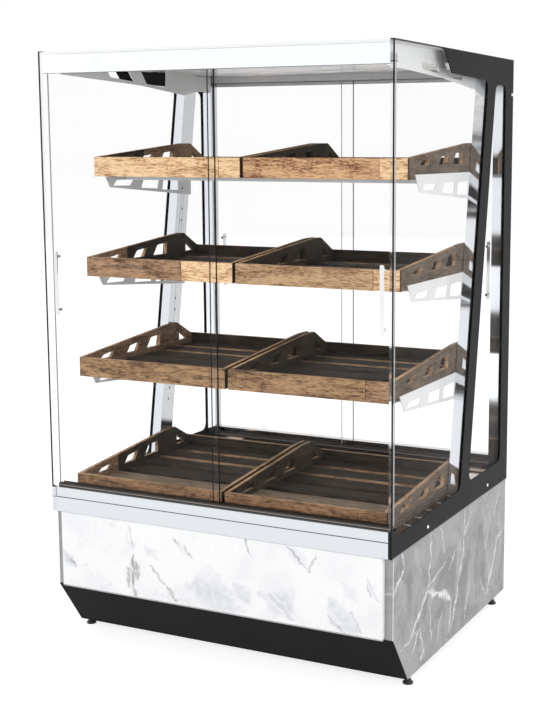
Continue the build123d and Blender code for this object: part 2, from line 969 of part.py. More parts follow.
# Wooden trays with pierced sides
tray_windows = (
    ((68, 30), (118, 30), (133, 46), (84, 40)),
    ((182, 30), (228, 30), (245, 53), (199, 48)),
    ((272, 30), (335, 30), (336, 60), (292, 56)),
    ((428, 30), (467, 31), (427, 58)),
)


def tray(x_low, y, z):
    """Wooden tray: front and back boards, two pierced sides and slats."""
    base = z + rest_gap
    with BuildPart() as wooden:
        with BuildSketch(Plane.YZ.offset(x_low)):
            with BuildLine():
                Polyline(
                    (y, base),
                    (y, base + tray_front_height),
                    (y + tray_peak_start, base + tray_peak_height),
                    (y + tray_peak_end, base + tray_peak_height),
                    (y + tray_slope_end, base + tray_back_height),
                    (y + tray_depth, base + tray_back_height),
                    (y + tray_depth, base),
                    close=True,
                )
            make_face()
            for window in tray_windows:
                with BuildLine():
                    Polyline(*[(y + a, base + b) for a, b in window], close=True)
                make_face(mode=Mode.SUBTRACT)
        extrude(amount=tray_wall)
        mirror(about=Plane.YZ.offset(x_low + tray_width / 2))
        with BuildSketch(Plane.XY.offset(base)):
            with Locations((x_low + tray_width / 2, y + tray_wall / 2)):
                Rectangle(tray_width, tray_wall)
        extrude(amount=tray_front_height)
        with BuildSketch(Plane.XY.offset(base)):
            with Locations((x_low + tray_width / 2, y + tray_depth - tray_wall / 2)):
                Rectangle(tray_width, tray_wall)
        extrude(amount=tray_back_height)
        inside = tray_depth - 2 * tray_wall
        slat_space = (inside - slat_count * slat_width) / (slat_count - 1)
        with BuildSketch(Plane.XY.offset(base + slat_lift)):
            with Locations((x_low + tray_width / 2, y + tray_depth / 2)):
                with GridLocations(1, slat_width + slat_space, 1, slat_count):
                    Rectangle(tray_width - tray_wall, slat_width)
        extrude(amount=slat_thickness)
    return wooden


tray_levels = (
    ("upper", upper_shelf_height, shelf_front_y(upper_shelf_height)),
    ("middle", middle_shelf_height, shelf_front_y(middle_shelf_height)),
    ("lower", lower_shelf_height, shelf_front_y(lower_shelf_height)),
    ("deck", deck_height, deck_tray_front_y),
)
for level, z, y in tray_levels:
    save(tray(-tray_gap / 2 - tray_width, y, z), f"tray_{level}_left")
    save(tray(tray_gap / 2, y, z), f"tray_{level}_right")


# Cooling machine: finned coils, fans, compressor and drip tray
fin_thickness = 1
fin_margin = 2
tube_diameter = 10
tube_sides = 6
shaft_diameter = 8
hub_diameter = 36
hub_length = 20
blade_thickness = 2
blade_count = 5
blade_root_width = 20
blade_tip_width = 32
blade_tip_rake = 5
blade_pitch = 28
hub_bite = 2
can_radius = 24
can_length = 38
wheel_gap = 4


def finned_coil(centre, size, fin_pitch, rows, columns):
    """Fins on straight tubes between two end plates, standing at the centre of its foot."""
    length, depth, height = size
    x, y, z = centre
    fins = int((length - 2 * sheet) / fin_pitch)
    with BuildPart() as coil:
        with BuildSketch(Plane.YZ.offset(x - length / 2)):
            with Locations((y, z + height / 2)):
                Rectangle(depth, height)
        extrude(amount=sheet)
        with BuildSketch(Plane.YZ.offset(x + length / 2 - sheet)):
            with Locations((y, z + height / 2)):
                Rectangle(depth, height)
        extrude(amount=sheet)
        with Locations((x, y, z + height / 2)):
            with GridLocations(fin_pitch, 1, fins, 1):
                Box(fin_thickness, depth - 2 * fin_margin, height - 2 * fin_margin)
        with BuildSketch(Plane.YZ.offset(x - length / 2)):
            with Locations((y, z + height / 2)):
                with GridLocations(depth / columns, height / rows, columns, rows):
                    RegularPolygon(tube_diameter / 2, tube_sides)
        extrude(amount=length)
    return coil


def fan_rotor(centre, tip_radius):
    """Axial fan wheel on an axis along Y, with pitched blades on a bored hub."""
    root = hub_diameter / 2 - hub_bite
    with BuildPart() as blade:
        with BuildSketch(Plane.XY.rotated((blade_pitch, 0, 0))):
            with BuildLine():
                Polyline(
                    (root, -blade_root_width / 2),
                    (tip_radius - blade_tip_rake, -blade_tip_width / 2),
                    (tip_radius, 0),
                    (tip_radius, blade_tip_width / 2),
                    (root, blade_root_width / 2),
                    close=True,
                )
            make_face()
        extrude(amount=blade_thickness / 2, both=True)
    with BuildPart(Plane(origin=centre, x_dir=(1, 0, 0), z_dir=(0, 1, 0))) as wheel:
        Cylinder(hub_diameter / 2, hub_length)
        with PolarLocations(0, blade_count):
            add(blade.part)
        Cylinder(shaft_diameter / 2 + shaft_clearance, hub_length, mode=Mode.SUBTRACT)
    return wheel


def fan_motor(centre, foot_z, foot_low_y, foot_high_y):
    """Motor with its shaft on an upright bracket plate, whose foot runs along Y."""
    x, y, z = centre
    can_front = y + hub_length / 2 + wheel_gap
    with BuildPart() as motor:
        with BuildSketch(Plane.XZ.offset(-can_front)):
            with Locations((x, z)):
                Circle(can_radius)
        extrude(amount=-can_length)
        with BuildSketch(Plane.XZ.offset(-(y - hub_length / 2))):
            with Locations((x, z)):
                Circle(shaft_diameter / 2)
        extrude(amount=-(hub_length + wheel_gap))
        with BuildSketch(Plane.XZ.offset(-(can_front + can_length))):
            with Locations((x, (z + foot_z) / 2)):
                Rectangle(can_radius * 2, z - foot_z)
            with Locations((x, z)):
                Circle(can_radius)
        extrude(amount=-sheet)
        with BuildSketch(Plane.XY.offset(foot_z)):
            with Locations((x, (foot_low_y + foot_high_y) / 2)):
                Rectangle(can_radius * 2, foot_high_y - foot_low_y)
        extrude(amount=sheet)
    return motor


coil_foot = foot_height + channel
coil_rows = 2
coil_columns = 1
condenser_x = -150
condenser_headroom = 15
condenser_height = well_bottom - coil_foot - condenser_headroom
condenser_size = (260, 38, condenser_height)
condenser_fin_pitch = 20
condenser_wheel_offset = 20
condenser_wheel_lift = 1
condenser_wheel_rise = condenser_height / 2 + condenser_wheel_lift
condenser_foot_reach = 55
condenser_tip_margin = 9
condenser_tip = condenser_height / 2 - condenser_tip_margin
condenser_centre = (condenser_x, frame_back_y - channel / 2, coil_foot)
condenser_wheel = (condenser_x, cross_ys[2] + condenser_wheel_offset, coil_foot + condenser_wheel_rise)
condenser_foot = (cross_ys[2] - channel / 2, condenser_wheel[1] + condenser_foot_reach)

condenser = finned_coil(condenser_centre, condenser_size, condenser_fin_pitch, coil_rows, coil_columns)
save(condenser, "condenser")
save(fan_rotor(condenser_wheel, condenser_tip), "condenser_fan")
save(fan_motor(condenser_wheel, coil_foot, *condenser_foot), "condenser_motor")

evaporator_size = (520, 70, 90)
evaporator_fin_pitch = 37
evaporator_inset = 172
evaporator_wheel_lead = 130
evaporator_wheel_rise = 56
evaporator_foot_start = 34
evaporator_foot_end = 74
evaporator_tip = 48
evaporator_centre = (0, well_back_y - evaporator_inset, well_floor)
evaporator_wheel = (0, evaporator_centre[1] - evaporator_wheel_lead, well_floor + evaporator_wheel_rise)
evaporator_foot = (evaporator_wheel[1] + evaporator_foot_start, evaporator_wheel[1] + evaporator_foot_end)
evaporator = finned_coil(evaporator_centre, evaporator_size, evaporator_fin_pitch, coil_rows, coil_columns)
save(evaporator, "evaporator")
save(fan_rotor(evaporator_wheel, evaporator_tip), "evaporator_fan")
save(fan_motor(evaporator_wheel, well_floor, *evaporator_foot), "evaporator_motor")

compressor_x = 190
compressor_radius = 72
compressor_headroom = 25
compressor_height = well_bottom - coil_foot - compressor_headroom
crown_height = 38
crown_step = 26
compressor_plate = 3
compressor_plate_width = 190
compressor_plate_depth = compressor_rail_spread + channel
terminal_box_size = (34, 46, 60)
terminal_box_offset = 8
with BuildPart() as compressor:
    with BuildSketch(Plane.XY.offset(coil_foot)):
        with Locations((compressor_x, compressor_y)):
            Rectangle(compressor_plate_width, compressor_plate_depth)
    extrude(amount=compressor_plate)
    with BuildSketch(Plane((compressor_x, compressor_y, coil_foot), (1, 0, 0), (0, -1, 0))):
        with BuildLine():
            Polyline(
                (0, 0),
                (compressor_radius, 0),
                (compressor_radius, compressor_height - crown_height),
                (compressor_radius - crown_step, compressor_height),
                (0, compressor_height),
                close=True,
            )
        make_face()
    revolve(axis=Axis((compressor_x, compressor_y, 0), (0, 0, 1)))
    terminal_box_x = compressor_x + compressor_radius + terminal_box_offset
    with Locations((terminal_box_x, compressor_y, coil_foot + terminal_box_size[2])):
        Box(*terminal_box_size)
save(compressor, "compressor")

drip_width = 140
drip_side_gap = 25.5
drip_x = -(panel_inner_x - drip_side_gap - drip_width / 2)
drip_height = 34
drip_wall = 2
with BuildPart() as drip_tray:
    with BuildSketch(Plane.XY.offset(coil_foot)):
        with Locations((drip_x, compressor_y)):
            Rectangle(drip_width, compressor_plate_depth)
    extrude(amount=drip_height)
    offset(
        amount=-drip_wall,
        openings=drip_tray.faces().sort_by(Axis.Z)[-1],
        kind=Kind.INTERSECTION,
    )
save(drip_tray, "drip_tray")
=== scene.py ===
from itertools import count
from math import cos, pi, radians, sin, tan
import bmesh
import bpy
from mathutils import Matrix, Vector


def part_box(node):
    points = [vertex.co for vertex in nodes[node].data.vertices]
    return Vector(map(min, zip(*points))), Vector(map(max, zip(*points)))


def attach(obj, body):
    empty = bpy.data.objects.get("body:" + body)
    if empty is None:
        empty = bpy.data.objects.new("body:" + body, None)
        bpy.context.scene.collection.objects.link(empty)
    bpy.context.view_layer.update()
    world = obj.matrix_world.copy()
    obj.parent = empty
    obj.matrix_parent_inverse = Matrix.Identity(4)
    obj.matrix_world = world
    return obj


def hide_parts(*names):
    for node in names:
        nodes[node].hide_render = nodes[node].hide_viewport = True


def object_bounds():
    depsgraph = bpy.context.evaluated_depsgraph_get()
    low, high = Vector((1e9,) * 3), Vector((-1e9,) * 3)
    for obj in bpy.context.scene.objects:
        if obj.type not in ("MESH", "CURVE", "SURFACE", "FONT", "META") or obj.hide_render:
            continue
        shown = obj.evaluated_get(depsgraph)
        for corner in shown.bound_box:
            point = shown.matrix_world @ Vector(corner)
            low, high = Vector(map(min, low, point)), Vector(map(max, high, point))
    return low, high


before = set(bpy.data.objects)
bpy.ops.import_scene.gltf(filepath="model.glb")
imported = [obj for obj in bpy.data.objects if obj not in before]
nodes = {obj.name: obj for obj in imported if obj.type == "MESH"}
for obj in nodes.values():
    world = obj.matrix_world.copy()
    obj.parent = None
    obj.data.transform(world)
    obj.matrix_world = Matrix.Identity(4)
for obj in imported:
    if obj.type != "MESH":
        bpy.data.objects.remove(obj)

cad_low, cad_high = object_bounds()


# Marble-look base: two side boards and the board across the front, satin laminate with a stone
# pattern, the side boards cut back on a slope over the kick and the front one set between them.
def new_material(name):
    """A material with one Principled shader; gives back the material, its node tree and the shader."""
    material = bpy.data.materials.new(name)
    material.use_nodes = True
    tree = material.node_tree
    return material, tree, tree.nodes["Principled BSDF"]


def feed(tree, socket, value):
    """Link another node's output to a socket, or give the socket a plain value."""
    if hasattr(value, "links"):
        tree.links.new(value, socket)
    else:
        socket.default_value = value


def settle(shader, **values):
    """Set a shader's own sockets to plain values."""
    for name, value in values.items():
        shader.inputs[name.replace("_", " ")].default_value = value


def add_node(tree, kind, *inputs, **values):
    """Add a node: values name its settings and sockets, and inputs fill its sockets in order."""
    node = tree.nodes.new(kind)
    for name, value in values.items():
        socket = name.replace("_", " ")
        if socket in node.inputs:
            feed(tree, node.inputs[socket], value)
        else:
            setattr(node, name, value)
    for index, value in enumerate(inputs):
        feed(tree, node.inputs[index], value)
    return node


def new_group(name, inputs, outputs=(("Color", "Color"), ("Roughness", "Float"), ("Height", "Float"))):
    """An empty shader group; gives back its tree, the values given to it and the results it puts out."""
    group = bpy.data.node_groups.new(name, "ShaderNodeTree")
    for label, kind, default in inputs:
        socket = group.interface.new_socket(label, in_out="INPUT", socket_type=f"NodeSocket{kind}")
        socket.default_value = default
    for label, kind in outputs:
        group.interface.new_socket(label, in_out="OUTPUT", socket_type=f"NodeSocket{kind}")
    return group, group.nodes.new("NodeGroupInput").outputs, group.nodes.new("NodeGroupOutput").inputs


def put_out(group, results, **values):
    """Link a group's results to the sockets that hold them."""
    for name, value in values.items():
        group.links.new(value, results[name])


def place_group(tree, group, **values):
    """Put a shared group in a material with that material's own values."""
    return add_node(tree, "ShaderNodeGroup", node_tree=group, **values)


def maths(tree, operation, *values):
    """One Math node on sockets or numbers."""
    return add_node(tree, "ShaderNodeMath", *values, operation=operation).outputs[0]


def times(tree, first, *others):
    """The product of masks or numbers."""
    for other in others:
        first = maths(tree, "MULTIPLY", first, other)
    return first


def any_of(tree, first, *others):
    """The strongest of several masks."""
    for other in others:
        first = maths(tree, "MAXIMUM", first, other)
    return first


def vectors(tree, operation, *values, **named):
    """One Vector Math node on sockets or values."""
    node = add_node(tree, "ShaderNodeVectorMath", *values, operation=operation, **named)
    return node.outputs["Value" if operation in ("DOT_PRODUCT", "DISTANCE") else "Vector"]


def noise(tree, place, **values):
    """The outputs of a noise texture at a place."""
    return add_node(tree, "ShaderNodeTexNoise", Vector=place, **values).outputs


def blend_colour(tree, factor, a, b):
    """Mix two colours; each of the three is a socket or a value."""
    node = add_node(tree, "ShaderNodeMix", data_type="RGBA")
    for index, value in ((0, factor), (6, a), (7, b)):
        feed(tree, node.inputs[index], value)
    return node.outputs[2]


def soft_step(tree, value, low, high):
    """0 below low, 1 above high, smooth between."""
    return add_node(tree, "ShaderNodeMapRange", interpolation_type="SMOOTHSTEP", Value=value,
                    From_Min=low, From_Max=high).outputs["Result"]


def soft_fall(tree, value, low, high):
    """1 below low, 0 above high, smooth between."""
    return maths(tree, "SUBTRACT", 1.0, soft_step(tree, value, low, high))


def parts(tree, vector):
    """The X, Y and Z of a vector."""
    return add_node(tree, "ShaderNodeSeparateXYZ", vector).outputs


def own_place(tree):
    """The place of a point in the object's own coordinates."""
    return tree.nodes.new("ShaderNodeTexCoord").outputs["Object"]


def position(tree, axis):
    """One coordinate of a place on the object."""
    return parts(tree, own_place(tree))[axis]


def facing(tree, axis):
    """How far a face looks along an axis, from -1 to 1."""
    return parts(tree, tree.nodes.new("ShaderNodeNewGeometry").outputs["Normal"])[axis]


def bump(tree, shader, height, strength, distance):
    """Raise the surface by a height that changes over it."""
    raised = add_node(tree, "ShaderNodeBump", Height=height, Strength=strength, Distance=distance)
    tree.links.new(raised.outputs["Normal"], shader.inputs["Normal"])


def dress(material, *names):
    """Give CAD pieces their finish."""
    for name in names:
        for slot in nodes[name].material_slots:
            slot.material = material


def stone_group():
    """Cloudy stone ground with faint broken veins; place is in metres, already bent."""
    group, given, results = new_group("stone ground", (
        ("Place", "Vector", (0, 0, 0)), ("Base", "Color", (0.9, 0.9, 0.9, 1)),
        ("Cloud", "Color", (0.6, 0.6, 0.62, 1)), ("Cloud Amount", "Float", 0.6),
        ("Vein Amount", "Float", 0.3),
    ))

    def cloud(scale, detail, offset, distortion=0.0):
        moved = vectors(group, "ADD", given["Place"], offset)
        return noise(group, moved, Scale=scale, Detail=detail, Roughness=0.6, Distortion=distortion)["Fac"]

    mist = soft_step(group, cloud(9.0, 5.0, (1, 5, 3), 0.8), 0.40, 0.68)
    colour = blend_colour(group, times(group, mist, given["Cloud Amount"]), given["Base"], given["Cloud"])
    away = maths(group, "ABSOLUTE", maths(group, "SUBTRACT", cloud(7.0, 6.0, (6, 2, 9), 1.0), 0.5))
    broken = soft_step(group, cloud(11.0, 2.0, (9, 3, 2)), 0.5, 0.64)
    line = times(group, soft_fall(group, away, 0.0, 0.02), broken, given["Vein Amount"])
    grain = cloud(140.0, 3.0, (0, 0, 0))
    put_out(group, results, Color=blend_colour(group, line, colour, given["Cloud"]), Height=grain,
            Roughness=maths(group, "MULTIPLY_ADD", grain, 0.12, 0.22))
    return group


def bend_group():
    """The object's own coordinates pushed about by noise, so that straight veins run like real ones."""
    group, given, results = new_group("bent place", (("Amount", "Float", 1.0),), (("Place", "Vector"),))
    own = own_place(group)
    place = own
    for scale, reach in ((7.0, 0.055), (45.0, 0.022), (160.0, 0.006)):
        cloudy = noise(group, own, Scale=scale, Detail=4.0)["Color"]
        even = vectors(group, "SUBTRACT", cloudy, (0.5, 0.5, 0.5))
        push = vectors(group, "MULTIPLY", even, (reach, reach, reach))
        place = vectors(group, "ADD", place, vectors(group, "SCALE", push, Scale=given["Amount"]))
    put_out(group, results, Place=place)
    return group


def vein_group():
    """How strongly a vein drawn from start to end colours a place: full on its line, thinner at its ends."""
    group, given, results = new_group("drawn vein", (
        ("Place", "Vector", (0, 0, 0)), ("Start", "Vector", (0, 0, 0)), ("End", "Vector", (0, 0, 1)),
        ("Width", "Float", 0.01), ("Strength", "Float", 1.0),
    ), (("Mask", "Float"),))
    along = vectors(group, "SUBTRACT", given["End"], given["Start"])
    gone = vectors(group, "SUBTRACT", given["Place"], given["Start"])
    share = maths(group, "DIVIDE", vectors(group, "DOT_PRODUCT", gone, along),
                  vectors(group, "DOT_PRODUCT", along, along))
    share = maths(group, "MINIMUM", maths(group, "MAXIMUM", share, 0.0), 1.0)
    away = vectors(group, "DISTANCE", gone, vectors(group, "SCALE", along, Scale=share))
    swell = times(group, share, maths(group, "SUBTRACT", 1.0, share), 3.0)
    width = times(group, given["Width"], maths(group, "ADD", swell, 0.3))
    mask = soft_fall(group, maths(group, "DIVIDE", away, width), 0.0, 1.0)
    smoke = noise(group, given["Place"], Scale=55.0, Detail=7.0, Roughness=0.65)["Fac"]
    smoke = maths(group, "MULTIPLY_ADD", soft_step(group, smoke, 0.36, 0.6), 0.6, 0.4)
    put_out(group, results, Mask=times(group, mask, smoke, given["Strength"]))
    return group


stone_ground, bent_place, drawn_vein = stone_group(), bend_group(), vein_group()


def board_point(flat, run, rise):
    """A point on a board, from its run along the board and its height, both in millimetres."""
    return (run / 1000 * flat[0], run / 1000 * flat[1], rise / 1000)


def marble(name, flat, base, cloud, cloud_amount, vein_amount, veins):
    """Satin stone-pattern laminate; flat leaves out the axis across the board.

    Veins are drawn in turn over the ground, each table in one shade. A vein is the run and rise of
    its start and of its end in millimetres, its width in millimetres and its strength in percent.
    """
    material, tree, shader = new_material(name)
    bent = vectors(tree, "MULTIPLY", place_group(tree, bent_place).outputs[0], flat)
    ground = place_group(tree, stone_ground, Place=bent, Base=base, Cloud=cloud,
                         Cloud_Amount=cloud_amount, Vein_Amount=vein_amount)
    colour = ground.outputs["Color"]
    for shade, drawn in veins:
        masks = [
            place_group(tree, drawn_vein, Place=bent, Start=board_point(flat, run, rise),
                        End=board_point(flat, end_run, end_rise), Width=width / 1000,
                        Strength=strength / 100).outputs[0]
            for run, rise, end_run, end_rise, width, strength in drawn
        ]
        colour = blend_colour(tree, any_of(tree, *masks), colour, shade)
    feed(tree, shader.inputs["Roughness"], ground.outputs["Roughness"])
    settle(shader, Specular_IOR_Level=0.35)
    bump(tree, shader, ground.outputs["Height"], 0.01, 0.0002)
    return material, tree, shader, colour


# The front board is nearly white, with dark smoky veins at its left, pale grey patches in the
# middle and slanting white veins between them.
front_patches = (
    (-60, 190, 70, 185, 60, 62), (60, 225, 105, 170, 30, 70), (150, 200, 190, 165, 70, 75),
    (120, 210, 205, 150, 22, 80), (300, 215, 360, 150, 36, 60), (-420, 226, -385, 200, 20, 80),
    (190, 320, 235, 285, 22, 50), (-185, 275, -150, 240, 16, 50), (330, 260, 360, 225, 20, 40),
    (390, 275, 415, 230, 14, 60), (-110, 300, -60, 262, 14, 45), (0, 160, 95, 150, 18, 50),
)
front_smoke = (
    (-222, 250, -218, 180, 16, 95), (-208, 230, -204, 190, 15, 80), (-236, 215, -232, 172, 12, 70),
    (-230, 322, -222, 255, 3.5, 75), (-222, 180, -212, 142, 9, 85), (-170, 226, -128, 182, 6, 60),
    (-128, 182, -96, 140, 6, 95), (-118, 180, -106, 150, 10, 60), (188, 325, 246, 268, 4.5, 80),
    (262, 318, 247, 268, 4.5, 65), (84, 325, 102, 290, 4, 70), (300, 180, 340, 144, 8, 60),
    (352, 196, 372, 150, 6, 50), (-402, 226, -380, 196, 5, 75), (-108, 300, -92, 282, 3, 60),
    (-84, 292, -62, 264, 3, 60), (386, 268, 398, 236, 3, 60),
)
front_white = (
    (-226, 252, -220, 150, 4.5, 95), (106, 232, 112, 142, 7, 100), (112, 222, 196, 142, 6, 100),
    (122, 236, 222, 142, 3.5, 90), (20, 200, 108, 170, 6, 95), (-5, 205, 8, 150, 3.5, 80),
    (-120, 176, -110, 150, 4, 90), (250, 250, 330, 170, 4, 70), (108, 170, 60, 142, 6, 90),
)
marble_front, front_tree, front_shader, front_colour = marble(
    "marble_front", (1, 0, 1), (0.97, 0.972, 0.98, 1), (0.72, 0.735, 0.77, 1), 0.3, 0.6,
    (((0.62, 0.64, 0.69, 1), front_patches), ((0.22, 0.225, 0.24, 1), front_smoke),
     ((0.97, 0.97, 0.975, 1), front_white)),
)
# The front board is drawn greyer along its lowest 4 mm.
panel_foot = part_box("front_panel")[0].z
lower_edge = soft_fall(front_tree, position(front_tree, "Z"), panel_foot + 0.0035, panel_foot + 0.0042)
edge_strip_grey = (0.36, 0.36, 0.37, 1)
feed(front_tree, front_shader.inputs["Base Color"],
     blend_colour(front_tree, times(front_tree, lower_edge, 0.8), front_colour, edge_strip_grey))
dress(marble_front, "front_panel")

# The side boards are drawn mid grey, a painted shade over stone as white as the front board's, with
# long white veins that cross and two dark smoky ones further back. Their front ends are edged in a
# darker strip and a dark line, both painted shade, with a white line at the outer corner that is a
# painted highlight.
side_smoke = (
    (-268, 262, -282, 150, 24, 70), (186, 255, 160, 175, 12, 95), (160, 175, 158, 40, 7, 90),
    (176, 240, 150, 120, 30, 60), (74, 205, 66, 148, 7, 85), (-150, 325, -158, 200, 5, 55),
    (-90, 150, -70, 90, 18, 40), (20, 300, 60, 230, 14, 50), (200, 310, 240, 260, 14, 50),
    (-14, 100, -30, 35, 4, 60), (260, 200, 250, 120, 10, 40), (-220, 130, -240, 60, 12, 40),
    (300, 300, 330, 230, 12, 40), (110, 260, 96, 190, 9, 50), (-330, 150, -300, 90, 12, 40),
)
side_patches = (
    (-120, 215, -170, 120, 30, 60), (40, 260, 10, 120, 26, 60), (220, 250, 260, 90, 30, 55),
    (-330, 280, -300, 190, 22, 50), (110, 180, 90, 60, 22, 50), (330, 260, 350, 130, 22, 50),
    (-240, 300, -210, 240, 22, 45), (-200, 90, -180, 40, 22, 50),
)
side_white = (
    (-53, 232, -157, 196, 5.8, 96), (-157, 196, -282, 98, 8, 100), (-157, 196, -147, 322, 5.1, 84),
    (-157, 184, -103, 166, 14.5, 100), (-103, 166, -22, 116, 15.9, 100), (-16, 112, -30, 34, 7.2, 96),
    (72, 322, 69, 247, 5.1, 84), (69, 247, 30, 152, 6.5, 100), (30, 152, -14, 34, 7.2, 100),
    (380, 198, 322, 190, 4.3, 84), (322, 190, 238, 46, 9.4, 100), (-318, 316, -298, 284, 5.1, 96),
    (-298, 284, -345, 262, 4.3, 60), (-300, 282, -366, 246, 5.8, 96), (-338, 96, -228, 106, 4.3, 72),
    (-224, 110, -182, 64, 5.8, 96), (-182, 64, -206, 36, 5.8, 96), (-228, 108, -250, 62, 5.8, 84),
    (-60, 250, -90, 320, 5.1, 72), (120, 300, 60, 250, 4.3, 72), (260, 260, 215, 150, 4.3, 72),
    (330, 300, 290, 240, 5.1, 72), (-150, 140, -130, 60, 5.1, 84), (-70, 110, -110, 30, 4.3, 72),
    (10, 240, -40, 200, 4.3, 72), (110, 130, 80, 32, 5.1, 72), (190, 120, 230, 40, 4.3, 72),
)
marble_side_shaded, side_tree, side_shader, side_colour = marble(
    "marble_side_shaded", (0, 1, 1), (0.37, 0.37, 0.375, 1), (0.15, 0.15, 0.155, 1), 0.7, 0.5,
    (((0.16, 0.16, 0.165, 1), side_smoke), ((0.56, 0.56, 0.565, 1), side_patches),
     ((0.95, 0.95, 0.955, 1), side_white)),
)
# Painted shade on the front ends, and at the outer corner a painted shade line and a painted highlight line.
front_end = soft_step(side_tree, times(side_tree, facing(side_tree, "Y"), -1.0), 0.9, 0.95)
side_out = maths(side_tree, "ABSOLUTE", position(side_tree, "X"))
board_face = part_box("side_panel_right")[1].x
side_colour = blend_colour(side_tree, times(side_tree, front_end, 0.55), side_colour, edge_strip_grey)
for depth, shade in ((0.0026, (0.1, 0.1, 0.105, 1)), (0.0017, (0.95, 0.95, 0.955, 1))):
    near_corner = soft_step(side_tree, side_out, board_face - depth, board_face - depth + 0.0002)
    side_colour = blend_colour(side_tree, times(side_tree, near_corner, front_end), side_colour, shade)
feed(side_tree, side_shader.inputs["Base Color"], side_colour)
dress(marble_side_shaded, "side_panel_left", "side_panel_right")


# Kick and base frame: folded sheet and welded steel angle, both powder coated, the kick leaning back
# between the side boards and the frame carrying the machine just above the floor.
def coat_group():
    """Fine orange peel, slight cloudiness and dust of coated or moulded surfaces."""
    group, given, results = new_group("coat texture", (
        ("Base", "Color", (0.5, 0.5, 0.5, 1)), ("Roughness", "Float", 0.4), ("Scale", "Float", 900.0),
        ("Cloud", "Float", 0.08), ("Dust", "Float", 0.06),
    ))
    place = own_place(group)
    wide = noise(group, place, Scale=9.0, Detail=5.0, Roughness=0.6)["Fac"]
    even = maths(group, "SUBTRACT", wide, 0.5)
    lit = add_node(group, "ShaderNodeHueSaturation", Color=given["Base"],
                   Value=maths(group, "ADD", 1.0, times(group, even, given["Cloud"]))).outputs["Color"]
    upward = maths(group, "MAXIMUM", facing(group, "Z"), 0.0)
    dust = times(group, upward, given["Dust"], wide)
    put_out(group, results, Color=blend_colour(group, dust, lit, (0.6, 0.59, 0.57, 1)),
            Roughness=maths(group, "ADD", given["Roughness"], times(group, even, 0.14)),
            Height=noise(group, place, Scale=given["Scale"], Detail=3.0)["Fac"])
    return group


coat_texture = coat_group()


def surface(tree, shader, texture, strength, distance, paint):
    """Lead a texture's colour, gloss and height into a shader; paint changes the colour over the piece."""
    colour = texture.outputs["Color"]
    feed(tree, shader.inputs["Base Color"], paint(tree, colour) if paint else colour)
    feed(tree, shader.inputs["Roughness"], texture.outputs["Roughness"])
    if strength is not None:
        bump(tree, shader, texture.outputs["Height"], strength, distance)


def coated(name, base, roughness, metallic=0.0, strength=0.08, scale=900.0, cloud=0.08, dust=0.06, coat=0.0,
           gloss=0.5, paint=None):
    """Powder coat, paint or moulded plastic."""
    material, tree, shader = new_material(name)
    texture = place_group(tree, coat_texture, Base=(*base, 1), Roughness=roughness, Scale=scale, Cloud=cloud,
                          Dust=dust)
    surface(tree, shader, texture, strength, 0.0002, paint)
    settle(shader, Metallic=metallic, Coat_Weight=coat, Specular_IOR_Level=gloss)
    return material


dress(coated("kick_black", (0.0095, 0.0095, 0.0097), 0.6, gloss=0.06, dust=0.0), "kick_panel")
dress(coated("frame_paint", (0.03, 0.031, 0.033), 0.5, dust=0.2), "base_frame")


# Levelling feet: black nylon pads turned on a threaded zinc stem with a lock nut, one under each
# corner, screwed up into the side boards.
black_nylon = coated("black_nylon", (0.012, 0.012, 0.013), 0.38, scale=500.0, strength=0.12)
zinc_thread = coated("zinc_thread", (0.55, 0.56, 0.58), 0.3, metallic=1.0, strength=0.1)
to_right, to_back, upward = Vector((1, 0, 0)), Vector((0, 1, 0)), Vector((0, 0, 1))


def ring_of_points(builder, centre, side, up, radius, steps):
    """Points on a circle about a centre, from its side direction round by its up direction."""
    turns = [2 * pi * k / steps for k in range(steps)]
    return [builder.verts.new(centre + radius * (side * cos(turn) + up * sin(turn))) for turn in turns]


def skin(builder, rings, index=0, smooth=True, closed=True):
    """Join rings of points into a tube, closed at both ends or open."""
    for low, high in zip(rings, rings[1:]):
        for k in range(len(low)):
            after = (k + 1) % len(low)
            face = builder.faces.new((low[k], low[after], high[after], high[k]))
            face.material_index = index
            face.smooth = smooth
    for ring in (rings[0][::-1], rings[-1]) if closed else ():
        builder.faces.new(ring).material_index = index


def lathe(builder, centre, outline, steps=40, index=0):
    """Turn an outline of (radius, height) points about a vertical axis."""
    skin(builder, [
        ring_of_points(builder, Vector((*centre, height)), to_right, to_back, radius, steps)
        for radius, height in outline
    ], index)


def into_scene(name, data):
    """Put a mesh, lamp or camera into the scene as an object."""
    thing = bpy.data.objects.new(name, data)
    bpy.context.scene.collection.objects.link(thing)
    return thing


def finish_mesh(name, builder, materials, node=None):
    """Turn a bmesh into a piece that rides on the cabinet and may stand for a CAD node."""
    mesh = bpy.data.meshes.new(name)
    builder.to_mesh(mesh)
    builder.free()
    for material in materials:
        mesh.materials.append(material)
    piece = into_scene(name, mesh)
    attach(piece, "cabinet")
    if node:
        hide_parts(node)


pad_outline = (
    (0.0105, 0.0), (0.012, 0.0006), (0.012, 0.0042), (0.0113, 0.0054), (0.0086, 0.0072), (0.0074, 0.009),
    (0.007, 0.0096), (0.007, 0.0125),
)
nut_outline = ((0.0062, 0.0125), (0.0069, 0.0131), (0.0069, 0.0162), (0.0062, 0.0168))
thread_outline = [(0.0037 + 0.0003 * (k % 2), 0.0168 + 0.0005 * k) for k in range(40)]
feet = bmesh.new()
for foot_x in (-0.4355, 0.4355):
    for foot_y in (-0.258, 0.310):
        lathe(feet, (foot_x, foot_y), pad_outline)
        lathe(feet, (foot_x, foot_y), nut_outline, steps=6, index=1)
        lathe(feet, (foot_x, foot_y), thread_outline, steps=20, index=1)
finish_mesh("feet_turned", feet, (black_nylon, zinc_thread), "levelling_feet")


# Service panel and mains inlet: a dark coated sheet with rows of pressed louvres that closes the
# machine space, and a moulded inlet clipped into it with three metal pins.
dress(coated("service_paint", (0.035, 0.036, 0.038), 0.42), "back_panel")
dress(coated("inlet_black", (0.015, 0.015, 0.016), 0.3, scale=600.0), "power_inlet")


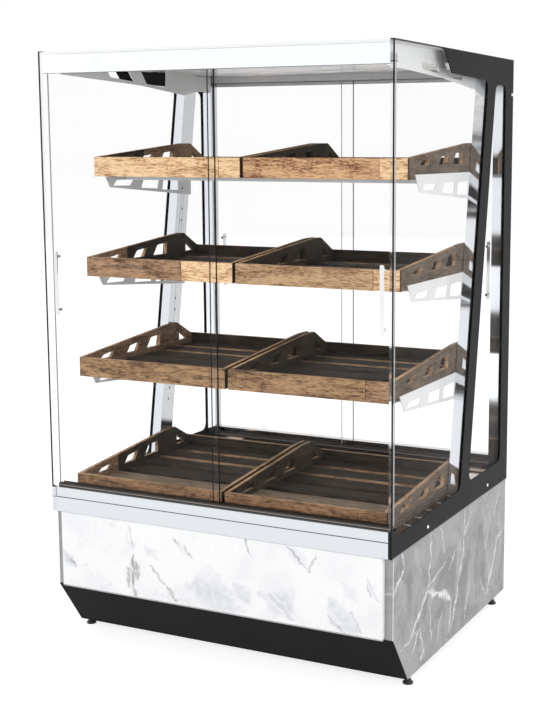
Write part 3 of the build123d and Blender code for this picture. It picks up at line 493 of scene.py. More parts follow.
# Cooling machine: enamelled hermetic compressor, aluminium finned coils on copper tubes, moulded fan
# wheels on painted motors, and a moulded tray that catches the melt water, all out of sight.
def metal_group():
    """Brushed or rolled lines that change the gloss and brightness of bare metal along one direction; drawn
    deep, they make painted reflection streaks.
    """
    group, given, results = new_group("metal lines", (
        ("Base", "Color", (0.7, 0.7, 0.7, 1)), ("Roughness", "Float", 0.2),
        ("Stretch", "Vector", (1, 60, 60)), ("Depth", "Float", 0.1), ("Stain", "Float", 0.04),
    ))
    place = own_place(group)
    pulled = vectors(group, "MULTIPLY", place, given["Stretch"])
    lines = noise(group, pulled, Scale=22.0, Detail=4.0, Roughness=0.7)["Fac"]
    stain = noise(group, place, Scale=7.0, Detail=4.0)["Fac"]
    change = maths(group, "ADD", times(group, maths(group, "SUBTRACT", lines, 0.5), given["Depth"]),
                   times(group, maths(group, "SUBTRACT", stain, 0.5), given["Stain"]))
    lit = add_node(group, "ShaderNodeHueSaturation", Color=given["Base"],
                   Value=maths(group, "ADD", 1.0, change))
    put_out(group, results, Color=lit.outputs["Color"], Height=lines,
            Roughness=maths(group, "ADD", given["Roughness"], change))
    return group


metal_lines = metal_group()


def bare_metal(name, base, roughness, stretch=(1, 60, 60), depth=0.06, stain=0.04, strength=0.03,
               distance=0.0001, paint=None):
    """Bare steel or aluminium."""
    material, tree, shader = new_material(name)
    texture = place_group(tree, metal_lines, Base=(*base, 1), Roughness=roughness, Stretch=stretch,
                          Depth=depth, Stain=stain)
    surface(tree, shader, texture, strength, distance, paint)
    settle(shader, Metallic=1.0)
    return material


dress(coated("black_enamel", (0.012, 0.012, 0.013), 0.22, coat=0.4), "compressor")
dress(bare_metal("coil_metal", (0.66, 0.67, 0.69), 0.32, stretch=(60, 1, 1)), "condenser", "evaporator")
dress(coated("fan_black", (0.02, 0.02, 0.021), 0.42, scale=400.0), "condenser_fan", "evaporator_fan")
dress(coated("motor_paint", (0.05, 0.052, 0.055), 0.38), "condenser_motor", "evaporator_motor")
dress(coated("tray_black", (0.02, 0.02, 0.021), 0.48, scale=400.0, dust=0.2), "drip_tray")
copper = bare_metal("copper_tube", (0.72, 0.38, 0.24), 0.25, stretch=(1, 1, 1), stain=0.2)
tube_radius, bend_steps = 0.0042, 8
for coil in ("condenser", "evaporator"):
    # A copper hairpin bend joins the tube ends at the coil's right side.
    coil_low, coil_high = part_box(coil)
    half = (coil_high.z - coil_low.z) / 4
    reach = min(half, 0.018)
    middle = Vector((coil_high.x, (coil_low.y + coil_high.y) / 2, (coil_low.z + coil_high.z) / 2))
    bend = bmesh.new()
    bend_rings = []
    for step in range(bend_steps + 1):
        angle = -pi / 2 + pi * step / bend_steps
        centre = middle + Vector((cos(angle) * reach, 0, sin(angle) * half))
        outward = Vector((cos(angle), 0, sin(angle)))
        bend_rings.append(ring_of_points(bend, centre, outward, to_back, tube_radius, 12))
    skin(bend, bend_rings, closed=False)
    finish_mesh(f"{coil}_bends", bend, (copper,))


# Cold well and deck: a white moulded liner over foam, closed by a mirror-polished steel deck with
# air slots along its edges, on which the lowest pair of trays stands.
dress(coated("liner_white", (0.75, 0.755, 0.76), 0.35, scale=500.0), "cooling_well")
# The deck's warm, darker tint is a painted reflection of the wooden trays that stand on it.
dress(bare_metal("deck_steel", (0.50, 0.46, 0.425), 0.06, stretch=(1, 6, 1), depth=0.04, stain=0.06,
                 strength=0.0), "deck")


def round_bar(builder, start, end, radius, index=0):
    """A thin round bar between two points."""
    start, end = Vector(start), Vector(end)
    along = (end - start).normalized()
    side = along.orthogonal().normalized()
    up = along.cross(side)
    skin(builder, [ring_of_points(builder, point, side, up, radius, 10) for point in (start, end)], index)


# The deck's side slots have rolled lips, drawn white as a painted highlight beside the trays.
deck_top = 0.362
lip_height, lip_radius = deck_top + 0.0004, 0.0012
lip_inner, lip_outer = 0.4142, 0.4374
first_slot, slot_step, slot_count = -0.2434, 0.067, 6
lips = bmesh.new()
for sign in (-1, 1):
    for slot in range(slot_count):
        along = first_slot + slot_step * slot
        round_bar(lips, (sign * lip_inner, along, lip_height), (sign * lip_outer, along, lip_height), lip_radius)
finish_mesh("deck_slot_lips", lips, (coated("lip_highlight_white", (0.85, 0.85, 0.86), 0.35),))


# Counter profiles: the folded satin profile along the front, with a step near its top, and the
# polished riser along the back, both running from side pane to side pane over the marble.
def riser_wood_reflection(tree, colour):
    """The riser's forward faces drawn warm, a painted reflection of the wood in the case."""
    forward = soft_step(tree, times(tree, facing(tree, "Y"), -1.0), 0.3, 0.8)
    return blend_colour(tree, forward, colour, (0.62, 0.52, 0.45, 1))


dress(bare_metal("front_satin", (0.66, 0.685, 0.72), 0.36, stretch=(1, 80, 80), depth=0.03, stain=0.02,
                 strength=0.02), "front_profile")
dress(bare_metal("rear_polished", (0.66, 0.66, 0.66), 0.08, stretch=(2, 4, 4), strength=None,
                 paint=riser_wood_reflection), "rear_profile")


def cross_bead(builder, box, height, setback, radius, index=0):
    """A bead along the front of a piece, from one of its ends to the other."""
    low, high = box
    round_bar(builder, (low.x + radius, low.y + setback, height), (high.x - radius, low.y + setback, height),
              radius, index)


# A thin dark bead pressed into the fold under the profile's upper lip is painted shade, and a finer
# one, also painted shade, runs where the profile sits on the marble.
profile_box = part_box("front_profile")
profile_foot, profile_top = profile_box[0].z, profile_box[1].z
profile_step = profile_foot + 0.035
bead = bmesh.new()
cross_bead(bead, profile_box, profile_step + 0.0004, 0.0017, 0.0009)
cross_bead(bead, profile_box, profile_foot, 0.0008, 0.0007, index=1)
finish_mesh("profile_shade_beads", bead, (
    coated("step_shade_bead", (0.10, 0.105, 0.115), 0.5, gloss=0.2),
    coated("joint_shade_bead", (0.16, 0.16, 0.165), 0.5, gloss=0.2),
))


# Sliding tracks: extruded plastic with two grooves, dark lower ones on the profiles and deeper pale
# ones under the ceiling, so that each pane can be lifted up and out.
def foot_line(node, grey):
    """A paint that draws the lowest edge of a piece in a flat grey."""
    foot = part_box(node)[0].z

    def paint(tree, colour):
        edge = soft_fall(tree, position(tree, "Z"), foot + 0.0016, foot + 0.0024)
        return blend_colour(tree, edge, colour, (grey, grey, grey, 1))

    return paint


def groove_bands(tree, colour):
    """The dark joint, a painted light rib for the lit wall tops and painted shade in the groove, along each
    lower track.
    """
    rise = position(tree, "Z")
    blur = 0.0001
    for node in ("front_track_lower", "rear_track_lower"):
        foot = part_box(node)[0].z
        for start, stop, shade in (
            (0.0, 0.0012, (0.01, 0.01, 0.01, 1)),
            (0.0026, 0.0036, (0.4, 0.37, 0.34, 1)),
            (0.0066, 0.009, (0.02, 0.018, 0.017, 1)),
        ):
            band = times(tree, soft_step(tree, rise, foot + start - blur, foot + start),
                         soft_fall(tree, rise, foot + stop, foot + stop + blur))
            colour = blend_colour(tree, band, colour, shade)
    return colour


dress(coated("track_pale", (0.9, 0.9, 0.91), 0.28, strength=0.05, scale=400.0, cloud=0.05,
             paint=foot_line("rear_track_upper", 0.2)), "front_track_upper", "rear_track_upper")
dress(coated("track_dark", (0.075, 0.062, 0.054), 0.35, scale=400.0, gloss=0.3, paint=groove_bands),
      "front_track_lower", "rear_track_lower")


# Side panes and doors: clear toughened glass. The doors' ground edges are drawn dark as painted shade,
# and pale as painted light over some stretches. The side panes stand on the marble; each carries a
# black painted frame plate on its outside.
def glass(name, tint, bend, pale_part=None):
    """Clear pane; where a pale part is given, its rims are ground, painted light over that part and painted
    shade elsewhere.
    """
    material, tree, shader = new_material(name)
    film = noise(tree, own_place(tree), Scale=3.0, Detail=4.0)["Fac"]
    feed(tree, shader.inputs["Roughness"], times(tree, soft_step(tree, film, 0.45, 0.9), 0.02))
    settle(shader, Base_Color=(*tint, 1), IOR=bend, Transmission_Weight=1.0)
    path = tree.nodes.new("ShaderNodeLightPath").outputs
    through = add_node(tree, "ShaderNodeBsdfTransparent", Color=(0.97, 0.975, 0.975, 1))
    unshaded = any_of(tree, path["Is Shadow Ray"], path["Is Diffuse Ray"])
    whole = add_node(tree, "ShaderNodeMixShader", unshaded, shader.outputs[0], through.outputs[0])
    if pale_part:
        rim = soft_fall(tree, maths(tree, "ABSOLUTE", facing(tree, "Y")), 0.3, 0.6)
        grit = noise(tree, own_place(tree), Scale=300.0, Detail=2.0)["Fac"]
        dark = blend_colour(tree, grit, (0.006, 0.007, 0.007, 1), (0.012, 0.014, 0.014, 1))
        pale = pale_part(tree, position(tree, "X"))
        ground = add_node(tree, "ShaderNodeBsdfPrincipled", Roughness=0.5, Specular_IOR_Level=0.1,
                          Base_Color=blend_colour(tree, pale, dark, (0.5, 0.51, 0.52, 1)))
        whole = add_node(tree, "ShaderNodeMixShader", rim, whole.outputs[0], ground.outputs[0])
    feed(tree, tree.nodes["Material Output"].inputs["Surface"], whole.outputs[0])
    return material


def outer_ends(tree, run):
    """The doors' rims that lie beside the side panes."""
    return maths(tree, "GREATER_THAN", maths(tree, "ABSOLUTE", run), 0.43)


def left_half(tree, run):
    """The left half of the case."""
    return maths(tree, "LESS_THAN", run, 0.0)


# The front doors' rims are painted light beside the side panes, the rear doors' over the left half.
door_clear = glass("door_clear", (0.998, 0.998, 0.998), 1.13, outer_ends)
rear_clear = glass("rear_clear", (0.985, 0.985, 0.986), 1.13, left_half)
dress(glass("side_clear", (0.985, 0.985, 0.983), 1.05), "side_glass_left", "side_glass_right")


# Black frame plates, powder coated, with a painted highlight along their lower edge where they stand
# on the marble, held by bright socket screws. The panes' front edges are clear, with the black print on
# their outer half.
def edge_foot(tree, colour):
    """Below the profile's top the left strip shows the profile's metal, with the dark step across it as painted
    shade.
    """
    place = parts(tree, own_place(tree))
    foot = times(tree, left_half(tree, place["X"]), maths(tree, "LESS_THAN", place["Z"], profile_top))
    step = maths(tree, "COMPARE", place["Z"], profile_step + 0.0003, 0.0008)
    return blend_colour(tree, foot, colour,
                        blend_colour(tree, step, (0.72, 0.745, 0.78, 1), (0.1, 0.105, 0.115, 1)))


# The frame plates' grey lowest edge is a painted highlight.
dress(coated("frame_black", (0.0125, 0.0125, 0.0128), 0.55, scale=1200.0, dust=0.0, gloss=0.1,
             paint=foot_line("side_frame_right", 0.3)), "side_frame_left", "side_frame_right")
dress(bare_metal("screw_bright", (0.95, 0.95, 0.95), 0.3, stretch=(1, 1, 1)), "frame_screws")

edge_black = coated("edge_black", (0.006, 0.006, 0.0062), 0.4, strength=0.05, scale=600.0, dust=0.0,
                    gloss=0.2, paint=edge_foot)
edge_tree = edge_black.node_tree
edge_place = parts(edge_tree, own_place(edge_tree))
# The printed half of each strip, and the strip over the pane's top edge, stay black.
print_width, top_strip = 0.0034, 0.002
print_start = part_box("side_frame_right")[1].x - print_width
clear_part = times(
    edge_tree,
    maths(edge_tree, "LESS_THAN", maths(edge_tree, "ABSOLUTE", edge_place["X"]), print_start),
    maths(edge_tree, "LESS_THAN", edge_place["Z"], cad_high.z - top_strip),
    maths(edge_tree, "GREATER_THAN", edge_place["Z"], profile_top),
)
clear_edge = add_node(edge_tree, "ShaderNodeBsdfTransparent", Color=(0.96, 0.965, 0.965, 1))
edge_mix = add_node(edge_tree, "ShaderNodeMixShader", clear_part,
                    edge_tree.nodes["Principled BSDF"].outputs[0], clear_edge.outputs[0])
feed(edge_tree, edge_tree.nodes["Material Output"].inputs["Surface"], edge_mix.outputs[0])
dress(edge_black, "edge_trims")


# Uprights and roof arms: mirror-polished folded box sections, the front pair leaning back with the
# black plates, and pierced white-coated plates under the roof, which are screwed to the uprights.
lean = tan(radians(9.4))
lean_start = 0.0263 - deck_top * lean


def upright_faces(tree, colour):
    """Inner faces drawn greyer as painted shade, with dark lines painted as the shade inside the slots that the
    brackets hook into.
    """
    place = parts(tree, own_place(tree))
    inward = times(tree, maths(tree, "SIGN", place["X"]), times(tree, facing(tree, "X"), -1.0))
    inner_face = soft_step(tree, inward, 0.85, 0.95)
    slots = []
    for back, foot, top in ((0.020, 0.905, 1.095), (0.032, 0.905, 1.095), (0.026, 0.670, 0.870)):
        run = maths(tree, "MULTIPLY_ADD", place["Z"], lean, lean_start + back)
        on_line = maths(tree, "COMPARE", place["Y"], run, 0.0007)
        in_span = maths(tree, "COMPARE", place["Z"], (foot + top) / 2, (top - foot) / 2)
        slots.append(times(tree, on_line, in_span))
    colour = blend_colour(tree, times(tree, inner_face, 0.85), colour, (0.5, 0.505, 0.515, 1))
    slot_lines = times(tree, any_of(tree, *slots), times(tree, inner_face, 0.75))
    return blend_colour(tree, slot_lines, colour, (0.03, 0.03, 0.032, 1))


dress(bare_metal("upright_steel", (0.8, 0.825, 0.87), 0.09, stretch=(60, 60, 1), depth=0.02, stain=0.03,
                 strength=0.01, paint=upright_faces),
      "front_upright_left", "front_upright_right", "rear_upright_left", "rear_upright_right")


def cut_sheet(name, outline, windows, thickness, edge, materials, body, set_place):
    """A sheet or board cut from an outline in (run, rise) metres with rounded edges of a given radius.

    The three materials are for the front, the cut edges and the back; set_place turns a point of
    the sheet into its place, and the piece keeps its own grain coordinates.
    """
    curve = bpy.data.curves.new(name, "CURVE")
    curve.dimensions = "2D"
    curve.fill_mode = "BOTH"
    curve.extrude = thickness / 2 - edge
    curve.bevel_depth = edge
    curve.bevel_resolution = 1
    curve.offset = -edge
    for points in (outline, *windows):
        spline = curve.splines.new("POLY")
        spline.points.add(len(points) - 1)
        for point, (run, rise) in zip(spline.points, points):
            point.co = (run, rise, 0, 1)
        spline.use_cyclic_u = True
    flat = bpy.data.objects.new(name + "_cut", curve)
    mesh = bpy.data.meshes.new_from_object(flat)
    bpy.data.objects.remove(flat)
    bpy.data.curves.remove(curve)
    for material in materials:
        mesh.materials.append(material)
    for face in mesh.polygons:
        if abs(face.normal.z) > 0.9:
            face.material_index = 2 if face.normal.z < 0 else 0
        else:
            face.material_index = 1
    grain = mesh.attributes.new("board", "FLOAT_VECTOR", "POINT")
    for index, vertex in enumerate(mesh.vertices):
        grain.data[index].vector = vertex.co
        vertex.co = set_place(*vertex.co)
    piece = into_scene(name, mesh)
    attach(piece, body)
    return piece


def round_head(builder, face, sign, steps, outline):
    """A screw's head turned about X, which stands off a side's face towards the middle of the case."""
    skin(builder, [
        ring_of_points(builder, face - sign * out * to_right, to_back, upward, radius, steps)
        for radius, out in outline
    ], smooth=False)


arm_steel = coated("arm_steel", (0.92, 0.92, 0.925), 0.3, cloud=0.1, gloss=0.6)
arm_edge = bare_metal("arm_edge", (0.85, 0.85, 0.85), 0.25, stretch=(1, 1, 1))
arm_screw = coated("arm_screw", (0.92, 0.92, 0.92), 0.3)
arm_windows = (
    ((0.186, -0.034), (0.196, -0.045), (0.293, -0.051), (0.274, -0.028), (0.210, -0.026)),
    ((0.328, -0.025), (0.352, -0.055), (0.436, -0.060), (0.442, -0.022)),
)
socket_head = ((0.0056, 0.0), (0.0056, 0.0012), (0.0046, 0.0019), (0.0014, 0.0019), (0.0012, 0.0011))
flange_half, flange_gap, flange_foot, flange_top = 0.0008, 0.0004, 1.3465, 1.3875
screw_runs, screw_drop, arm_half = (0.461, 0.510), 0.0627, 0.001
for side, sign in (("left", -1), ("right", 1)):
    arm_low, arm_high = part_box(f"roof_arm_{side}")
    arm_reach = arm_high.y - arm_low.y
    arm_outline = (
        (0, -0.0475), (0.3225, -0.0595), (0.5285, -0.0775), (arm_reach, -0.0655), (arm_reach, 0), (0, 0),
    )
    arm_middle = (arm_low.x + arm_high.x) / 2
    arm = cut_sheet(f"arm_plate_{side}", arm_outline, arm_windows, arm_high.x - arm_low.x, 0.0003,
                    (arm_steel, arm_edge, arm_steel), "cabinet",
                    lambda run, rise, across: (arm_middle + across, arm_low.y + run, arm_high.z + rise))
    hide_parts(f"roof_arm_{side}")
    heads = bmesh.new()
    corners = [
        heads.verts.new((x, y, z))
        for x in (arm_middle - flange_half, arm_middle + flange_half)
        for y in (arm_high.y + flange_gap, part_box(f"rear_upright_{side}")[0].y - flange_gap)
        for z in (flange_foot, flange_top)
    ]
    for face in ((0, 1, 3, 2), (4, 6, 7, 5), (0, 4, 5, 1), (2, 3, 7, 6), (0, 2, 6, 4), (1, 5, 7, 3)):
        heads.faces.new([corners[corner] for corner in face]).material_index = 1
    for run in screw_runs:
        face = Vector((arm_middle - sign * arm_half, arm_low.y + run, arm_high.z - screw_drop))
        round_head(heads, face, sign, 18, socket_head)
    bmesh.ops.recalc_face_normals(heads, faces=heads.faces)
    finish_mesh(f"arm_screws_{side}", heads, (arm_screw, arm_steel))


# Roof: white coated header strip and roof sheet, a polished ceiling plate under them, and a slim
# lamp with an opal cover along the front edge of the ceiling.
dress(coated("header_white", (0.90, 0.935, 0.97), 0.3, cloud=0.03, dust=0.03), "header_front")
dress(coated("roof_white", (0.84, 0.85, 0.86), 0.34, cloud=0.03, dust=0.08), "roof_panel")
# The ceiling's deep warm streaks and blotches, set by its depth and stain values, are a painted reflection of
# the trays.
dress(bare_metal("ceiling_steel", (0.58, 0.55, 0.525), 0.12, stretch=(0.2, 2.2, 1), depth=3.2, stain=0.6,
                 strength=0.5, distance=0.004), "ceiling_plate")
dress(coated("lamp_grey", (0.55, 0.56, 0.58), 0.35, metallic=0.6), "lamp_housing")
opal = coated("opal_cover", (0.92, 0.92, 0.9), 0.3, strength=None, scale=300.0, cloud=0.03, dust=0.0)
opal_shader = opal.node_tree.nodes["Principled BSDF"]
feed(opal.node_tree, opal_shader.inputs["Emission Color"],
     opal_shader.inputs["Base Color"].links[0].from_socket)
settle(opal_shader, Emission_Strength=0.7)
dress(opal, "lamp_diffuser")

# A dark bead under the header is painted shade in its gap, and a grey folded edge runs along the roof's front.
header_box, roof_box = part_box("header_front"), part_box("roof_panel")
bead_mesh = bmesh.new()
cross_bead(bead_mesh, header_box, header_box[0].z, 0.0009, 0.0009)
cross_bead(bead_mesh, roof_box, roof_box[1].z - 0.0011, 0.0013, 0.0011, index=1)
finish_mesh("header_and_roof_beads", bead_mesh, (
    coated("gap_shade_black", (0.015, 0.015, 0.016), 0.5, gloss=0.2),
    coated("roof_edge_grey", (0.16, 0.165, 0.17), 0.5, gloss=0.2),
))


# Sliding doors and their pulls: two panes at the front and two at the back, each with a flat
# brushed bar on two short posts near its outer edge.
pull_steel = bare_metal("pull_steel", (0.78, 0.785, 0.8), 0.22, stretch=(60, 60, 1), depth=0.08)
dress(door_clear, "front_door_left", "front_door_right")
dress(rear_clear, "rear_door_left", "rear_door_right")
dress(pull_steel, "front_handle_left", "front_handle_right", "rear_handle_left", "rear_handle_right")


# Shelf brackets and rails: pierced sheet brackets hooked into the leaning uprights, with two flat
# cross rails between each pair, all coated pale grey, and a dark bolt to hold each bracket.
bracket_grey = coated("bracket_grey", (0.86, 0.86, 0.865), 0.25, cloud=0.05, coat=0.2)
dress(bracket_grey, "shelf_brackets_left", "shelf_brackets_right", "shelf_rails")
bolt_head = ((0.0032, 0.0), (0.0032, 0.0009), (0.0024, 0.0014))
bolt_drop, bolt_back, upright_inner = 0.0397, 0.0195, 0.4125
bolts = bmesh.new()
for level in ("upper", "middle", "lower"):
    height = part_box(f"tray_{level}_left")[0].z - bolt_drop
    for sign in (-1, 1):
        face = Vector((sign * upright_inner, lean_start + height * lean + bolt_back, height))
        round_head(bolts, face, sign, 16, bolt_head)
bmesh.ops.recalc_face_normals(bolts, faces=bolts.faces)
screw_dark = bare_metal("screw_dark", (0.12, 0.12, 0.125), 0.35, stretch=(1, 1, 1))
finish_mesh("bracket_bolts", bolts, (screw_dark,))


# Wooden trays: rough-sawn boards of mixed reclaimed wood, stained brown, with planed edges drawn paler
# as a painted highlight, and backs, slats and inner faces drawn near black as painted shade; the front
# boards are made up of two planks, the sides are pierced and rise to a low peak, and six slats make
# the floor.
def plank_group():
    """Sawn grain along the first of the board's own coordinates, with streaks and knots."""
    group, given, results = new_group("plank grain", (
        ("Light", "Color", (0.5, 0.3, 0.15, 1)), ("Dark", "Color", (0.15, 0.08, 0.04, 1)),
        ("Tone", "Float", 0.5), ("Crackle", "Float", 0.5), ("Knots", "Float", 0.5),
    ))
    own = add_node(group, "ShaderNodeAttribute", attribute_name="board").outputs["Vector"]

    def stretched(along, across):
        return vectors(group, "MULTIPLY", own, (along, across, across))

    def streaks(along, across, output="Fac", **values):
        return noise(group, stretched(along, across), Scale=1.0, **values)[output]

    fibre = streaks(62, 340, Detail=5.0, Roughness=0.6, Distortion=0.5)
    flow = streaks(8, 55, Detail=4.0, Distortion=1.4)
    patch = streaks(14, 24, Detail=3.0, Distortion=0.6)
    bent = vectors(group, "ADD", stretched(75, 230), streaks(40, 160, "Color", Detail=3.0))
    cracks = add_node(group, "ShaderNodeTexVoronoi", feature="DISTANCE_TO_EDGE", Vector=bent, Scale=1.0)
    crack = times(group, soft_fall(group, cracks.outputs["Distance"], 0.02, 0.14),
                  soft_step(group, patch, 0.46, 0.6))
    knots = add_node(group, "ShaderNodeTexVoronoi", Vector=stretched(6.5, 13), Scale=1.0)
    knot = soft_fall(group, knots.outputs["Distance"], 0.04, 0.3)
    tone = maths(group, "MULTIPLY_ADD", soft_step(group, flow, 0.38, 0.66), 0.5,
                 times(group, soft_step(group, patch, 0.4, 0.66), 0.2))
    for share in (
        times(group, soft_step(group, fibre, 0.44, 0.62), 0.62),
        maths(group, "SUBTRACT", given["Tone"], 0.5),
        times(group, crack, given["Crackle"], 0.8),
        times(group, knot, given["Knots"], 0.5),
    ):
        tone = maths(group, "ADD", tone, share)
    tone = maths(group, "MINIMUM", maths(group, "MAXIMUM", tone, 0.0), 1.0)
    put_out(group, results, Color=blend_colour(group, tone, given["Light"], given["Dark"]),
            Roughness=maths(group, "MULTIPLY_ADD", fibre, 0.25, 0.5),
            Height=maths(group, "SUBTRACT", fibre, times(group, crack, given["Crackle"])))
    return group


plank_grain = plank_group()


def timber(name, light, dark, tone=0.4, crackle=0.3, knots=0.3, gloss=0.2, paint=None):
    """Stained board with its own pair of colours."""
    material, tree, shader = new_material(name)
    grain = place_group(tree, plank_grain, Light=(*light, 1), Dark=(*dark, 1), Tone=tone, Crackle=crackle,
                        Knots=knots)
    surface(tree, shader, grain, 0.4, 0.0006, paint)
    settle(shader, Specular_IOR_Level=gloss)
    return material


golden = timber("wood_golden", (1.0, 0.70, 0.41), (0.36, 0.15, 0.055), tone=0.24, crackle=0.4, knots=0.1)
amber = timber("wood_amber", (0.62, 0.41, 0.235), (0.19, 0.085, 0.035), tone=0.30, crackle=0.35, knots=0.2)
reddish = timber("wood_reddish", (0.80, 0.48, 0.26), (0.20, 0.08, 0.035), tone=0.32, crackle=0.7, knots=0.2)
walnut = timber("wood_walnut", (0.50, 0.30, 0.175), (0.10, 0.05, 0.028), tone=0.38, knots=0.7)
chestnut = timber("wood_chestnut", (0.50, 0.305, 0.16), (0.10, 0.053, 0.027), tone=0.36, crackle=0.35)
umber = timber("wood_umber", (0.40, 0.225, 0.12), (0.10, 0.052, 0.028), tone=0.38)
# The near black wood of backs, slats and inner faces is painted shade.
shade_wood = timber("wood_painted_shade", (0.078, 0.056, 0.039), (0.02, 0.014, 0.009), tone=0.45, gloss=0.06)
stained = timber("wood_stained", (0.34, 0.21, 0.12), (0.10, 0.055, 0.03))
grey_brown = timber("wood_grey_brown", (0.20, 0.15, 0.11), (0.07, 0.05, 0.036), tone=0.42, crackle=0.2)
# The paler slat wood is painted light on the lit front of the deck trays' floor.
lit_slat_wood = timber("wood_slat_lit", (0.42, 0.31, 0.21), (0.16, 0.105, 0.07), tone=0.42, crackle=0.2)
# The paler edge wood is a painted highlight on edges that catch the light.
edge_highlight_wood = timber("wood_edge_highlight", (0.56, 0.36, 0.21), (0.18, 0.10, 0.05), tone=0.34)
# The near black edge wood marks the plank ends at their joints, and on slats and inner boards is painted shade
# on edges out of the light.
dark_edge = timber("wood_dark_edge", (0.09, 0.062, 0.042), (0.03, 0.02, 0.013), tone=0.45, gloss=0.1)


def brown_and_dark_side(level, end, front_y):
    """A side board drawn brown towards one end and near black towards the other, split by a line across it."""
    def brown_part(tree, colour):
        brown = place_group(tree, plank_grain, Light=(0.40, 0.255, 0.15, 1), Dark=(0.13, 0.07, 0.038, 1),
                            Tone=0.38, Crackle=0.3, Knots=0.5).outputs["Color"]
        split_run = front_y + (0.2 if end == "back" else 0.155)
        behind = maths(tree, "GREATER_THAN", position(tree, "Y"), split_run)
        tones = (colour, brown) if end == "back" else (brown, colour)
        return blend_colour(tree, behind, *tones)

    return timber(f"wood_{level}_joined", (0.062, 0.045, 0.031), (0.015, 0.0105, 0.007), tone=0.45,
                  knots=0.2, gloss=0.12, paint=brown_part)


board_number = count(1)


def board_piece(name, outline, thickness, axis, origin, wood, body, windows=(), edge_wood=edge_highlight_wood,
                back_wood=shade_wood, end_wood=None):
    """A board with rounded edges drawn paler as a painted highlight; axis is the way its faces look, and each
    board has its own grain.
    """
    place = {
        "Y": lambda run, rise, across: (origin[0] + run, origin[1] - across, origin[2] + rise),
        "X": lambda run, rise, across: (origin[0] + across, origin[1] + run, origin[2] + rise),
        "Z": lambda run, rise, across: (origin[0] + run, origin[1] + rise, origin[2] + across),
    }[axis]
    piece = cut_sheet(name, outline, windows, thickness, 0.0007, (wood, edge_wood, back_wood), body, place)
    if end_wood:
        piece.data.materials.append(end_wood)
        for face in piece.data.polygons:
            if abs(face.normal.x) > 0.6:
                face.material_index = 3
    number = next(board_number)
    for value in piece.data.attributes["board"].data:
        value.vector = Vector(value.vector) + Vector((number * 1.37, number * 0.71, number * 0.29))
    return piece


def rectangle(run_low, run_high, rise):
    """The outline of a plain board from one end to the other, as high or wide as rise."""
    return ((run_low, 0), (run_high, 0), (run_high, rise), (run_low, rise))


wall, slat_thick, slat_wide, inner_depth = 0.010, 0.012, 0.062, 0.480
front_rise, back_rise, slat_rise, joint_gap = 0.047, 0.044, 0.012, 0.0003
slat_step = slat_wide + (inner_depth - 6 * slat_wide) / 5
side_windows = (
    ((0.068, 0.030), (0.118, 0.030), (0.133, 0.046), (0.084, 0.040)),
    ((0.182, 0.030), (0.228, 0.030), (0.245, 0.053), (0.199, 0.048)),
    ((0.272, 0.030), (0.335, 0.030), (0.336, 0.060), (0.292, 0.056)),
    ((0.428, 0.030), (0.467, 0.031), (0.427, 0.058)),
)
side_outline = (
    (0.010, 0.0), (0.490, 0.0), (0.490, 0.044), (0.488, 0.044), (0.421, 0.080), (0.374, 0.080),
    (0.010, 0.0479),
)
# For each tray: its two front planks, the first one's share of the width, and where its outer side
# board is stained brown. Then the slats whose edges are drawn pale, a painted highlight, on each level.
tray_fronts = {
    ("upper", "left"): (golden, golden, 0.86, "back"), ("upper", "right"): (reddish, golden, 0.84, ""),
    ("middle", "left"): (walnut, golden, 0.66, "front"), ("middle", "right"): (amber, golden, 0.85, ""),
    ("lower", "left"): (chestnut, chestnut, 0.9, "whole"), ("lower", "right"): (chestnut, walnut, 0.85, ""),
    ("deck", "left"): (umber, umber, 0.925, "front"), ("deck", "right"): (umber, umber, 0.83, ""),
}
lit_slats = {"upper": (), "middle": (6,), "lower": (5, 6), "deck": (5, 6)}
for (level, side), (first_wood, second_wood, share, stain) in tray_fronts.items():
    tray = f"tray_{level}_{side}"
    low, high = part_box(tray)
    width = high.x - low.x
    joint = width * share
    front_place, back_place = (low.x, low.y + wall / 2, low.z), (low.x, high.y - wall / 2, low.z)
    first = board_piece(f"{tray}_front_1", rectangle(0.0, joint - joint_gap, front_rise), wall, "Y",
                        front_place, first_wood, tray, end_wood=dark_edge)
    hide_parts(tray)
    board_piece(f"{tray}_front_2", rectangle(joint + joint_gap, width, front_rise), wall, "Y",
                front_place, second_wood, tray, end_wood=dark_edge)
    board_piece(f"{tray}_back", rectangle(0, width, back_rise), wall, "Y", back_place, shade_wood, tray)
    inner = {"": shade_wood, "whole": stained}.get(stain) or brown_and_dark_side(level, stain, low.y)
    for name, x in (("left", low.x + wall / 2), ("right", high.x - wall / 2)):
        woods = (shade_wood, shade_wood)
        if name == side:
            woods = (inner, grey_brown) if side == "left" else (grey_brown, inner)
        board = board_piece(f"{tray}_side_{name}", side_outline, wall, "X", (x, low.y, low.z), woods[0],
                            tray, windows=side_windows, back_wood=woods[1])
        # On the inner boards only the top edges keep the painted highlight; their other edges take the near
        # black edge wood as painted shade.
        if name != side:
            board.data.materials.append(dark_edge)
            for face in board.data.polygons:
                if face.material_index == 1 and face.normal.z < 0.7:
                    face.material_index = 3
    for slat in range(1, 7):
        slat_place = (low.x, low.y + wall + (slat - 1) * slat_step, low.z + slat_rise)
        top = lit_slat_wood if slat == 2 and level == "deck" else shade_wood
        board_piece(f"{tray}_slat_{slat}", rectangle(wall, width - wall, slat_wide), slat_thick, "Z",
                    slat_place, top, tray, edge_wood=edge_highlight_wood if slat in lit_slats[level] else dark_edge)


# Studio: a white floor that runs into a white surround, soft even light from the front and left,
# and a camera at the photograph's place and angle.
def seen_rays(tree):
    """1 for the rays that show what surrounds the case: straight, mirrored or through glass."""
    path = tree.nodes.new("ShaderNodeLightPath").outputs
    return any_of(tree, path["Is Camera Ray"], path["Is Glossy Ray"], path["Is Transmission Ray"])


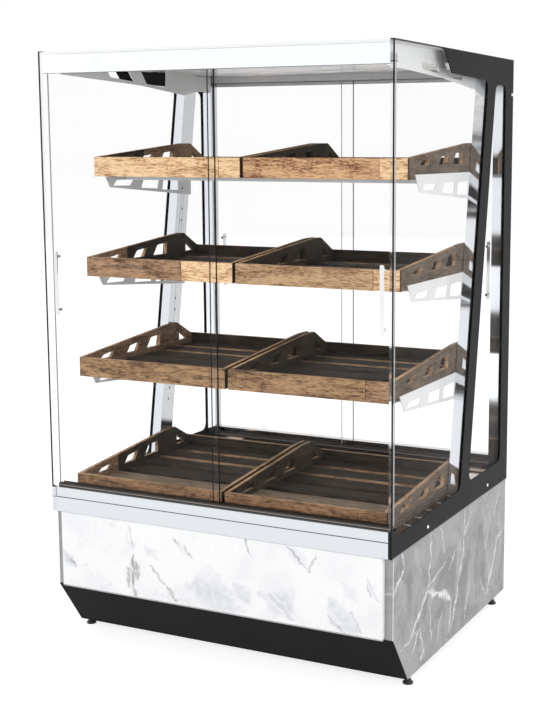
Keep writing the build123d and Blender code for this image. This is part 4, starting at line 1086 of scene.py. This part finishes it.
floor_mesh = bmesh.new()
bmesh.ops.create_circle(floor_mesh, cap_ends=True, segments=96, radius=14.0)
floor_data = bpy.data.meshes.new("studio_floor")
floor_mesh.to_mesh(floor_data)
floor_mesh.free()
floor_white, floor_tree, floor_shader = new_material("floor_white")
settle(floor_shader, Base_Color=(0.45, 0.45, 0.45, 1), Roughness=0.9, Specular_IOR_Level=0.0)
floor_glow = add_node(floor_tree, "ShaderNodeEmission",
                      Strength=times(floor_tree, seen_rays(floor_tree), 0.78))
floor_sum = add_node(floor_tree, "ShaderNodeAddShader", floor_shader.outputs[0], floor_glow.outputs[0])
feed(floor_tree, floor_tree.nodes["Material Output"].inputs["Surface"], floor_sum.outputs[0])
floor_data.materials.append(floor_white)
floor = into_scene("studio_floor", floor_data)

world = bpy.data.worlds.new("studio_surround")
bpy.context.scene.world = world
world.use_nodes = True
surround = world.node_tree.nodes["Background"].inputs
surround["Color"].default_value = (1, 1, 1, 1)
feed(world.node_tree, surround["Strength"],
     maths(world.node_tree, "MULTIPLY_ADD", seen_rays(world.node_tree), 0.2, 0.8))


def soft_lamp(name, place, size, power):
    """A large square lamp that looks at the middle of the case."""
    data = bpy.data.lights.new(name, "AREA")
    data.size = size
    data.energy = power
    lamp = into_scene(name, data)
    lamp.location = place
    lamp.rotation_euler = (Vector((0, 0, 0.8)) - Vector(place)).to_track_quat("-Z", "Y").to_euler()
    lamp.visible_glossy = False
    lamp.visible_transmission = False
    lamp.visible_camera = False


soft_lamp("front_softbox", (-1.6, -4.2, 1.7), 2.6, 75)
soft_lamp("side_softbox", (3.9, -1.3, 1.0), 2.2, 55)

camera_data = bpy.data.cameras.new("photo_camera")
camera_data.lens = 64.73
camera_data.shift_x = -0.10215
camera_data.shift_y = -0.04067
camera_data.clip_start = 0.05
camera_data.clip_end = 60
camera = into_scene("photo_camera", camera_data)
camera.location = (1.50834, -2.82411, 1.19949)
yaw, pitch = 0.4437, 0.1418
looking = Vector((-sin(yaw) * cos(pitch), cos(yaw) * cos(pitch), -sin(pitch)))
camera.rotation_euler = looking.to_track_quat("-Z", "Y").to_euler()
bpy.context.scene.camera = camera
bpy.context.scene.view_settings.view_transform = "Standard"
